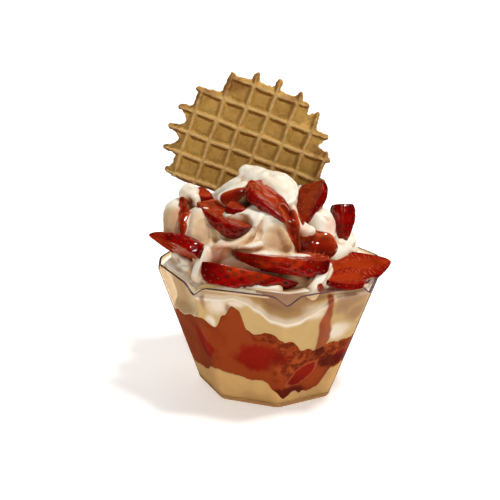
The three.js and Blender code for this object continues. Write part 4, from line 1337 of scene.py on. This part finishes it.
def wafer(waffle):
    """Baked wafer: golden cells, crests paler as drier batter and a painted highlight, steep slopes darker,
    painted shade under the ribs, browned rims, and fine pores.
    """
    finish = Finish("wafer", Roughness=0.62, Specular_IOR_Level=0.3)
    finish.set(Subsurface_Weight=0.08, Subsurface_Scale=0.001)
    blotch = finish.noise(85.0, 4.0, 0.6, 0.5)
    fine = finish.noise(600.0, 3.0, 0.6)
    floor, dry_and_highlight, baked_and_shaded = (tuple(c) for c in (waffle.floor, waffle.dry_and_highlight, waffle.baked_and_shaded))
    base = finish.blend(blotch.within(0.35, 0.72), floor, scaled(floor, (0.78, 0.72, 0.6)))
    # Darker on steep slopes, and painted shade on the undersides of the ribs
    base = finish.blend(finish.stored("slope") * 0.35, base, baked_and_shaded)
    base = finish.blend(finish.stored("under") * (0.85 + 0.4 * blotch), base, baked_and_shaded)
    # Painted highlight along the crests, partly paler, drier batter
    base = finish.blend(finish.stored("crest") * (0.6 + 0.4 * fine), base, dry_and_highlight)
    browned_rim = from_display(120, 66, 14)
    base = finish.blend(finish.stored("rim") * 0.55 * blotch.within(0.4, 0.6), base, browned_rim)
    finish.set(Base_Color=base)
    pores = finish.cells(900.0)
    finish.bump(fine * 0.8 + pores.within(0.1, 0.5) * 0.6 + blotch, 0.7, 0.0006)
    return finish.material


class SUNDAE_OT_waffle(bpy.types.Operator):
    """Makes the wafer: ribs over a thin web in its own plane, melted into one skin, then set in place"""

    bl_idname = "sundae.waffle"
    bl_label = "Waffle"

    def execute(self, context):
        waffle = context.scene.sundae.waffle
        shapes = [rib_shape(*rib, waffle, 40 + i) for i, rib in enumerate(rib_list())]
        mesh = melted(joined([*shapes, web_shape(waffle)]), waffle.grain, 2)
        flat = vertices_of(mesh)
        raised = np.abs(flat[:, 2])
        half, web = waffle.thickness / MM / 2, waffle.web / MM / 2
        normals = normals_of(mesh)
        set_value(mesh, "crest", ease((raised - half + 0.5) / 0.4))
        # Painted shade on faces turned down from the ribs
        shade_below_rib = ease((-normals[:, 1] - 0.25) / 0.35) + 0.35 * ease((-normals[:, 0] - 0.3) / 0.3)
        set_value(mesh, "under", np.clip(shade_below_rib, 0, 1) * ease((half - raised - 0.15) / 0.3))
        set_value(mesh, "slope", ease((0.85 - np.abs(normals[:, 2])) / 0.4) * ease((raised - web) / 0.3))
        from_middle = np.hypot(flat[:, 0], flat[:, 1])
        set_value(mesh, "rim", ease((from_middle - WEB_RADIUS + 3) / 3))
        in_cell = 1 - ease((raised - web - 0.05) / 0.4)
        push = 0.10 * uneven(flat, 2.4, 51) + 0.05 * uneven(flat, 1.1, 52)
        push += 0.15 * in_cell * uneven(flat, 5, 53)
        push += 0.3 * ease((from_middle - WEB_RADIUS + 1.5) / 3) * uneven(flat, 1.8, 54)
        middle_x, middle_y, ring_radius, ring_width = RAISED_RING
        from_ring = np.hypot(flat[:, 0] - middle_x, flat[:, 1] - middle_y) - ring_radius
        push += 0.35 * in_cell * np.exp(-((from_ring / ring_width) ** 2)) * (flat[:, 2] > 0)
        set_vertices(mesh, flat + normals * push[:, None])
        lean = Matrix.Rotation(np.radians(90 + FORWARD_LEAN), 4, "X")
        turn = Matrix.Rotation(np.radians(LATTICE_TURN), 4, "Z")
        mesh.transform(Matrix.Translation(Vector(WAFFLE_CENTRE) * MM) @ lean @ turn)
        mesh.shade_smooth()
        mesh.materials.clear()
        piece("waffle_wafer", mesh, [wafer(waffle)], ["waffle"])
        return {"FINISHED"}


# Where the skin of a slice is still orange: x, y, z, reach and strength
UNRIPE = [
    (-19, -40, 64.4, 3, 0.6), (-13, -41, 63.6, 4, 0.85), (-5, -41.5, 61.8, 4, 0.7),
    (2, -40.6, 66, 2.4, 0.5), (9, -40, 65.8, 2.8, 0.8), (16, -38, 65, 3, 0.9), (-43, -20, 66, 4, 0.5),
    (40, -14, 57, 4, 0.5), (6, 42, 66, 6, 0.6),
]


def strawberry_flesh(berries):
    """Strawberry: crimson skin with painted shade at both ends and in the seed pits, orange-red cut faces
    with a paler heart and fine veins, under clear syrup.
    """
    finish = Finish(
        "strawberry",
        Roughness=0.09,
        Specular_IOR_Level=0.5,
        Subsurface_Weight=0.15,
        Subsurface_Scale=0.002,
        Subsurface_Radius=(1.0, 0.2, 0.1),
    )
    skin, flesh, heart = (tuple(c) for c in (berries.skin, berries.flesh, berries.heart))
    blotch = finish.noise(120.0, 3.0, 0.55, 0.4)
    skin_colour = finish.blend(blotch.within(0.35, 0.7), skin, scaled(skin, (0.5, 0.4, 0.4)))
    unripe = finish.stored("unripe") * (0.55 + 0.45 * blotch.within(0.6, 0.35))
    skin_colour = finish.blend(unripe, skin_colour, tuple(berries.unripe))
    along = finish.stored("along")
    # Painted shade: the skin darker towards both ends of each slice, where shade falls
    ends = along.within(0.2, 0.02) + along.within(0.82, 0.98)
    skin_colour = finish.blend(ends * 0.75, skin_colour, scaled(skin, (0.26, 0.2, 0.3)))
    # Painted shade in the seed pits
    skin_colour = finish.blend(finish.stored("pit") * 0.8, skin_colour, scaled(skin, (0.3, 0.2, 0.3)))
    outwards = finish.stored("outwards")
    veins = finish.noise(1.0, 2.0, 0.5, place=finish.vein_place())
    cut = finish.blend(outwards.within(0.1, 0.8), heart, flesh)
    cut = finish.blend(outwards.within(0.8, 1.0), cut, scaled(flesh, (0.75, 0.4, 0.4)))
    pale_vein = from_display(222, 130, 82)
    cut = finish.blend(veins.within(0.5, 0.68) * outwards.within(0.15, 0.4) * 0.4, cut, pale_vein)
    cut = finish.blend(blotch.within(0.45, 0.7) * 0.5, cut, scaled(flesh, (0.6, 0.35, 0.3)))
    finish.set(Base_Color=finish.blend(finish.stored("cut"), skin_colour, cut))
    relief = veins * 0.12 + finish.noise(330.0, 0.6) * 0.5 + finish.noise(800.0, 2.0) * 0.1
    finish.bump(relief, 0.8, 0.0009)
    return finish.material


def berry_seed():
    """Seeds: tan to dark brown."""
    finish = Finish("strawberry seed", Roughness=0.3, Specular_IOR_Level=0.35)
    shade = finish.noise(300.0, 2.0).within(0.35, 0.65)
    tan, brown = from_display(136, 62, 20), from_display(54, 12, 5)
    finish.set(Base_Color=finish.blend(shade, tan, brown))
    return finish.material


def fruit_radius(share, radius, cut_off, power):
    """Half the fruit's width from its stem end at 0 to its tip at 1: the radius times sin(pi sqrt(s)) to a
    power, where s is the share of the whole fruit, of which some is cut off at the stem."""
    whole = cut_off + (1 - cut_off) * np.clip(share, 0, 1)
    return radius * np.maximum(np.sin(np.pi * np.sqrt(whole)), 0) ** power


def slice_grid(fruit, length_along, cuts, seed):
    """A lengthwise slice: at each row the part of the fruit's circle between two cuts, walked as a right arc,
    the upper cut, a left arc and the lower cut. Returns the rings, which are across, out and along, and how
    far each place is on a cut."""
    rows, per_arc, per_cut = 64, 30, 34
    even = np.linspace(0, 1, 400)
    nearest = max(cuts[0], -cuts[1], 0)
    reached = even[fruit_radius(even, *fruit) > nearest + 0.05]
    share = reached[0] + (reached[-1] - reached[0]) * close_at_ends(rows)
    around = np.maximum(fruit_radius(share, *fruit), nearest + 0.02)
    low, high = (np.arcsin(np.clip(cut / around, -1, 1))[:, None] for cut in cuts)
    step = np.linspace(0, 1, per_arc, endpoint=False)[None]
    flat = np.linspace(0, 1, per_cut, endpoint=False)[None]
    r = around[:, None]
    right = low + (high - low) * step
    left = high + (low - high) * step
    top_x, bottom_x = r * np.cos(high), r * np.cos(low)
    back = 1 - 2 * flat
    across = np.hstack([r * np.cos(right), top_x * back, -r * np.cos(left), -bottom_x * back])
    top, bottom = r * np.sin(high) + 0 * flat, r * np.sin(low) + 0 * flat
    out = np.hstack([r * np.sin(right), top, r * np.sin(left), bottom])
    along = np.broadcast_to(share[:, None] * length_along, across.shape)
    cut = np.hstack([0 * right, 1 + 0 * top, 0 * left, 1 + 0 * bottom])
    rings = np.stack([across, out, along], -1)
    lump = 1 + 0.035 * uneven(rings, 7.0, seed)
    rings = rings * np.stack([lump, np.ones_like(lump), np.ones_like(lump)], -1)
    for _ in range(2):
        rings = (np.roll(rings, 1, 1) + 2 * rings + np.roll(rings, -1, 1)) / 4
        cut = (np.roll(cut, 1, 1) + 2 * cut + np.roll(cut, -1, 1)) / 4
    return rings, cut


def seed_places(fruit, length_along, cuts, step, seed):
    """Where seeds sit: rings along the fruit, half a step round from one to the next, on the skin alone."""
    draw = np.random.default_rng(seed)
    places, outward = [], []
    first, last, from_cut = 0.06, 0.97, 0.7
    for i, share in enumerate(np.arange(first, last, step / length_along)):
        around = fruit_radius(share, *fruit)
        count = max(3, round(2 * np.pi * around / (step * 1.15)))
        angle = (np.arange(count) + 0.5 * (i % 2) + draw.uniform(-0.15, 0.15, count)) * 2 * np.pi / count
        out = around * np.sin(angle)
        kept = (out > cuts[0] + from_cut) & (out < cuts[1] - from_cut)
        at = share * length_along + draw.uniform(-0.3, 0.3, count)
        places.append(np.stack([around * np.cos(angle), out, at], -1)[kept])
        outward.append(level_circle(angle)[kept])
    return np.vstack(places), np.vstack(outward)


def seed_shape(place, outward, long_side):
    """One seed: a ball of few faces, long along the fruit and thin outwards."""
    ring = np.linspace(0, 2 * np.pi, 8, endpoint=False)[None, :, None]
    rows = np.linspace(0.25, np.pi - 0.25, 5)[:, None, None]
    way = np.array([0, 0, 1.0])
    side = np.cross(outward, way)
    ball = (
        0.32 * long_side * np.sin(rows) * np.cos(ring) * side
        + 0.2 * long_side * np.sin(rows) * np.sin(ring) * outward
        + 0.5 * long_side * np.cos(rows) * way * np.ones_like(ring)
    )
    return closed_rings(place + ball)


class SUNDAE_OT_berries(bpy.types.Operator):
    """Makes every slice of strawberry in place, with a pit and a seed at each spot on its skin"""

    bl_idname = "sundae.berries"
    bl_label = "Strawberry slices"

    def execute(self, context):
        berries = context.scene.sundae.berries
        materials = [strawberry_flesh(berries), berry_seed()]
        for number, (node, slice_) in enumerate(SLICES.items()):
            self.slice(node, slice_, berries, materials, 100 + number)
        return {"FINISHED"}

    def slice(self, node, slice_, berries, materials, seed):
        stem, tip, face, radius, cuts = slice_
        fruit = (radius, CUT_OFF.get(node, 0), FULL_ENDS.get(node, END_POWER))
        stem, tip, face = (np.array(p, float) for p in (stem, tip, face))
        length_along = np.linalg.norm(tip - stem)
        way = (tip - stem) / length_along
        across = unit(np.cross(way, face))
        frame_axes = np.stack([across, np.cross(across, way), way])
        rings, cut = slice_grid(fruit, length_along, cuts, seed)
        at, outward = seed_places(fruit, length_along, cuts, berries.seed_step / MM, seed)
        local = rings.reshape(-1, 3)
        local = np.vstack([local, rings[0].mean(0), rings[-1].mean(0)])
        cut = np.append(cut.ravel(), [cut[0].mean(), cut[-1].mean()])
        round_out = unit(local * (1, 1, 0))
        if len(at):
            pit_reach, lip_reach, lip_width, lip_height, shade_reach = 0.75, 1.5, 0.6, 0.12, 0.95
            away = np.linalg.norm(local[:, None] - at[None], axis=-1).min(1)
            pits = np.exp(-((away / pit_reach) ** 2)) * berries.pit_depth / MM
            pits -= lip_height * np.exp(-(((away - lip_reach) / lip_width) ** 2))
            # Painted shade in each seed pit, fading over its reach
            pit_shade = np.exp(-((away / shade_reach) ** 2)) * (1 - cut)
        else:
            pits = pit_shade = np.zeros(len(local))
        local = local - round_out * (pits * (1 - cut))[:, None]
        share = local[:, 2] / length_along
        outwards = np.hypot(local[:, 0], local[:, 1] * 0.3) / np.maximum(fruit_radius(share, *fruit), 0.5)
        dish = 0.35 * cut * ease(1.2 - outwards) + 0.12 * cut * uneven(local, 3.5, seed + 1)
        local = local - np.stack([0 * dish, dish * np.sign(local[:, 1] - np.mean(cuts)), 0 * dish], -1)
        faces = closed_rings(rings)[1]
        shapes = [(local @ frame_axes + stem, faces)]
        seed_depth = 0.22
        for place, out in zip(at - outward * seed_depth, outward):
            vertices, seed_faces = seed_shape(place, out, berries.seed_length / MM)
            shapes.append((vertices @ frame_axes + stem, seed_faces))
        mesh = make_mesh(node + "_fruit", joined(shapes))
        on_seeds = np.zeros(len(mesh.vertices) - len(local))
        values = {"cut": cut, "outwards": outwards, "along": share, "pit": pit_shade}
        for name, on_fruit in values.items():
            set_value(mesh, name, np.append(on_fruit, on_seeds))
        set_value(mesh, "unripe", in_spots(vertices_of(mesh), UNRIPE))
        index = (np.arange(len(mesh.polygons)) >= len(faces)).astype(np.int32)
        mesh.polygons.foreach_set("material_index", index)
        piece(node + "_fruit", mesh, materials, [node])


def syrup(sauce):
    """Strawberry sauce: dark, wet and a little see-through."""
    finish = Finish(
        "strawberry sauce",
        Roughness=0.08,
        Specular_IOR_Level=0.5,
        Subsurface_Weight=0.2,
        Subsurface_Scale=0.0015,
        Subsurface_Radius=(1.0, 0.15, 0.08),
    )
    deep = finish.noise(90.0, 3.0, 0.5, 0.6).within(0.35, 0.7)
    red = tuple(sauce.syrup)
    base = finish.blend(deep, red, scaled(red, (0.5, 0.4, 0.4)))
    finish.set(Base_Color=finish.blend(finish.stored("thin"), base, tuple(sauce.thin)))
    finish.bump(finish.noise(160.0, 2.0) + finish.noise(420.0, 2.0) * 0.3, 0.35, 0.0010)
    return finish.material


def carriers():
    """A mesh of everything that sauce can lie on."""
    work = bmesh.new()
    for thing in bpy.context.scene.objects:
        if thing.name.endswith("_fruit") or thing.name in ("cream_swirls", "cream_in_cup"):
            work.from_mesh(thing.data)
    mesh = bpy.data.meshes.new("carriers")
    work.to_mesh(mesh)
    work.free()
    thing = bpy.data.objects.new("carriers", mesh)
    bpy.context.scene.collection.objects.link(thing)
    return thing


# The steps along a run of sauce and across it
RUN_ROWS, RUN_COLUMNS = 44, 15


def laid_run(points, carrier, sight, depth, seed):
    """A run of sauce: a strip along a smooth line, laid on its carrier along the line of sight, whose depth
    falls from the middle to the edges and ends as an ellipse does."""
    rows, columns = RUN_ROWS, RUN_COLUMNS
    path = smooth_line(points, np.linspace(0, 1, rows))
    line, half = path[:, :3], path[:, 3]
    tangent = unit(np.gradient(line, axis=0))
    across = unit(np.cross(tangent, sight))
    start_above, lower_side = 12, 0.35
    v = np.sin(np.linspace(-np.pi / 2, np.pi / 2, columns))
    ends = np.linspace(0, 1, rows)
    closing = np.sqrt(np.clip(1 - np.abs(2 * ends - 1) ** 6, 0, 1))
    wavy = 1 + 0.3 * uneven(line, 4.0, seed)
    width = (half * closing * wavy)[:, None] * v[None]
    flat = line[:, None] + across[:, None] * width[..., None] - sight * start_above
    turn = Vector(-sight).to_track_quat("Z", "Y").to_matrix().to_4x4()
    place = np.array(turn)[:3, :3]
    mesh = bpy.data.meshes.new("strip")
    index = np.arange(rows * columns).reshape(rows, columns)
    corners = [index[:-1, :-1], index[:-1, 1:], index[1:, 1:], index[1:, :-1]]
    faces = np.stack(corners, -1).reshape(-1, 4)
    mesh.from_pydata((flat.reshape(-1, 3) @ place * MM).tolist(), [], faces.tolist())
    settings = {
        "target": carrier,
        "wrap_method": "PROJECT",
        "use_project_z": True,
        "use_negative_direction": True,
        "use_positive_direction": False,
    }
    smooth = {"factor": 0.5, "iterations": 3}
    laid = with_modifiers(mesh, ("SHRINKWRAP", settings), ("SMOOTH", smooth), place=turn)
    below = (vertices_of(laid) @ place.T).reshape(rows, columns, 3)
    deep = below @ sight
    rows_round, furthest = 6, 3
    window = np.full(2 * rows_round + 1, 1 / (2 * rows_round + 1))
    middle = np.convolve(np.pad(np.median(deep, 1), rows_round, "edge"), window, "valid")[:, None]
    below += (np.clip(deep, middle - furthest, middle + furthest) - deep)[..., None] * sight
    below = below.reshape(-1, 3)
    towards = unit(normals_of(laid) @ place.T)
    towards *= np.sign(towards @ -sight)[:, None]
    towards = unit(towards - 0.8 * sight)
    height = depth * (closing[:, None] * np.clip(1 - v**2, 0, 1)[None] ** 0.7).reshape(-1)
    upper = (below + towards * height[:, None]).reshape(rows, columns, 3)
    lower = (below - towards * lower_side).reshape(rows, columns, 3)
    rings = np.concatenate([upper, lower[:, ::-1]], axis=1)
    return closed_rings(rings), np.concatenate([v, v[::-1]])


class SUNDAE_OT_sauce(bpy.types.Operator):
    """Lays each run of sauce on the cream and the slices"""

    bl_idname = "sundae.sauce"
    bl_label = "Sauce"

    def execute(self, context):
        sauce = context.scene.sundae.sauce
        material = syrup(sauce)
        carrier = carriers()
        sight = unit(np.array([0.0, 1.0, -0.42]))
        for number, (name, points) in enumerate(SAUCE_RUNS.items()):
            shape, v = laid_run(points, carrier, sight, sauce.depth / MM, 200 + number)
            mesh = make_mesh(name, shape)
            at_ends = [0.5, 0.5]
            set_value(mesh, "thin", np.append(np.tile(np.abs(v), RUN_ROWS) ** 3, at_ends))
            piece(name, mesh, [material])
        bpy.data.objects.remove(carrier)
        return {"FINISHED"}


# Each lamp: its place, its width, whose power it has and what share of it, its tint, and whether it shows in
# glossy things
LAMPS = {
    "key": ((0.26, -0.12, 0.88), 0.14, "key_power", 1, (1, 0.985, 0.96), True),
    "fill": ((0.3, -0.85, 0.42), 0.6, "fill_power", 1, (1, 0.98, 0.96), False),
    "spark": ((0.05, -0.75, 0.62), 0.1, "key_power", 0.12, (1, 1, 1), True),
    "back": ((-0.2, 0.8, 0.7), 0.6, "fill_power", 1, (1, 0.98, 0.96), False),
}
LAMPS_AIM = (0, 0, 0.06)
FLOOR_BELOW = 0.0005  # metres from the cup's underside


def area_light(name, place, size, power, tint, glints):
    """A round lamp that looks at the middle of the sundae."""
    lamp = bpy.data.lights.new(name, "AREA")
    lamp.shape = "DISK"
    lamp.size = size
    lamp.energy = power
    lamp.color = tint
    thing = bpy.data.objects.new(name, lamp)
    thing.location = place
    thing.rotation_euler = (Vector(LAMPS_AIM) - Vector(place)).to_track_quat("-Z", "Y").to_euler()
    thing.visible_glossy = glints
    bpy.context.scene.collection.objects.link(thing)


class SUNDAE_OT_stage(bpy.types.Operator):
    """Makes the pale floor that curves up behind, the sky, the lamps and the camera"""

    bl_idname = "sundae.stage"
    bl_label = "Stage"

    def execute(self, context):
        stage = context.scene.sundae.stage
        self.floor(stage)
        for name, (place, size, power, share, tint, glints) in LAMPS.items():
            area_light(name, place, size, share * getattr(stage, power), tint, glints)
        self.sky(context.scene, stage)
        self.camera(context.scene, stage)
        context.scene.view_settings.view_transform = "Standard"
        return {"FINISHED"}

    def sky(self, scene, stage):
        """Even light that is bright at the horizon and weaker from above."""
        world = bpy.data.worlds.new("even light")
        world.use_nodes = True
        nodes, links = world.node_tree.nodes, world.node_tree.links
        direction = nodes.new("ShaderNodeTexCoord")
        parts = nodes.new("ShaderNodeSeparateXYZ")
        level = nodes.new("ShaderNodeMapRange")
        links.new(direction.outputs["Generated"], parts.inputs[0])
        links.new(parts.outputs["Z"], level.inputs["Value"])
        for name, value in {"From Min": 0.1, "From Max": 0.2, "To Min": 1.0, "To Max": stage.sky}.items():
            level.inputs[name].default_value = value
        nodes["Background"].inputs["Color"].default_value = (1, 0.98, 0.96, 1)
        links.new(level.outputs["Result"], nodes["Background"].inputs["Strength"])
        world.cycles_visibility.glossy = False
        scene.world = world

    def camera(self, scene, stage):
        lens = bpy.data.cameras.new("camera")
        lens.lens = stage.lens
        lens.clip_start = 0.01
        camera = bpy.data.objects.new("camera", lens)
        look = Vector(stage.target) - Vector(stage.camera)
        aim = look.to_track_quat("-Z", "Y").to_matrix().to_4x4()
        camera.matrix_world = Matrix.Translation(stage.camera) @ aim @ Matrix.Rotation(stage.roll, 4, "Z")
        scene.collection.objects.link(camera)
        scene.camera = camera

    def floor(self, stage):
        """One sheet: flat, then up a quarter circle behind, then straight up."""
        back, radius, half = 0.9, 0.6, 2.0
        bend = np.linspace(0, np.pi / 2, 13)
        y = np.concatenate([[-2.0], back + radius * np.sin(bend), [back + radius]])
        z = np.concatenate([[0.0], radius * (1 - np.cos(bend)), [2.0]])
        rows = len(y)
        vertices = [(x, a, b - FLOOR_BELOW) for x in (-half, half) for a, b in zip(y, z)]
        faces = [(i, i + 1, rows + i + 1, rows + i) for i in range(rows - 1)]
        mesh = bpy.data.meshes.new("floor")
        mesh.from_pydata(vertices, [], faces)
        mesh.shade_smooth()
        finish = Finish("pale floor", Roughness=0.7, Specular_IOR_Level=0.2)
        finish.set(Base_Color=tuple(stage.floor), Emission_Strength=1)
        distance = finish.node("ShaderNodeVectorMath", {"operation": "LENGTH"}, {0: finish.place}, "Value")
        near, far = scaled((1, 0.97, 0.94), stage.floor_glow), (0.78, 0.78, 0.78)
        finish.set(Emission_Color=finish.blend(distance.within(0.6, 1.6), near, far))
        mesh.materials.append(finish.material)
        thing = bpy.data.objects.new("floor", mesh)
        thing.visible_glossy = False
        bpy.context.scene.collection.objects.link(thing)


class SUNDAE_PT_panel(bpy.types.Panel):
    """Lists the pieces in the sidebar"""

    bl_idname = "SUNDAE_PT_panel"
    bl_label = "Strawberry sundae"
    bl_space_type = "VIEW_3D"
    bl_region_type = "UI"
    bl_category = "Sundae"

    def draw(self, context):
        for kind in STEPS:
            self.layout.operator(kind.bl_idname)


STEPS = (
    SUNDAE_OT_cup,
    SUNDAE_OT_layers,
    SUNDAE_OT_berries,
    SUNDAE_OT_cream,
    SUNDAE_OT_cream_in_cup,
    SUNDAE_OT_waffle,
    SUNDAE_OT_sauce,
    SUNDAE_OT_stage,
)
SETTINGS = (
    CupSettings,
    LayerSettings,
    CreamSettings,
    WaffleSettings,
    BerrySettings,
    SauceSettings,
    StageSettings,
    SundaeSettings,
)


def register():
    for kind in (*SETTINGS, *STEPS, SUNDAE_PT_panel):
        bpy.utils.register_class(kind)
    bpy.types.Scene.sundae = PointerProperty(type=SundaeSettings)


def unregister():
    del bpy.types.Scene.sundae
    for kind in reversed((*SETTINGS, *STEPS, SUNDAE_PT_panel)):
        bpy.utils.unregister_class(kind)


def main():
    register()
    for kind in STEPS:
        group, step = kind.bl_idname.split(".")
        getattr(getattr(bpy.ops, group), step)()


if __name__ == "__main__":
    main()
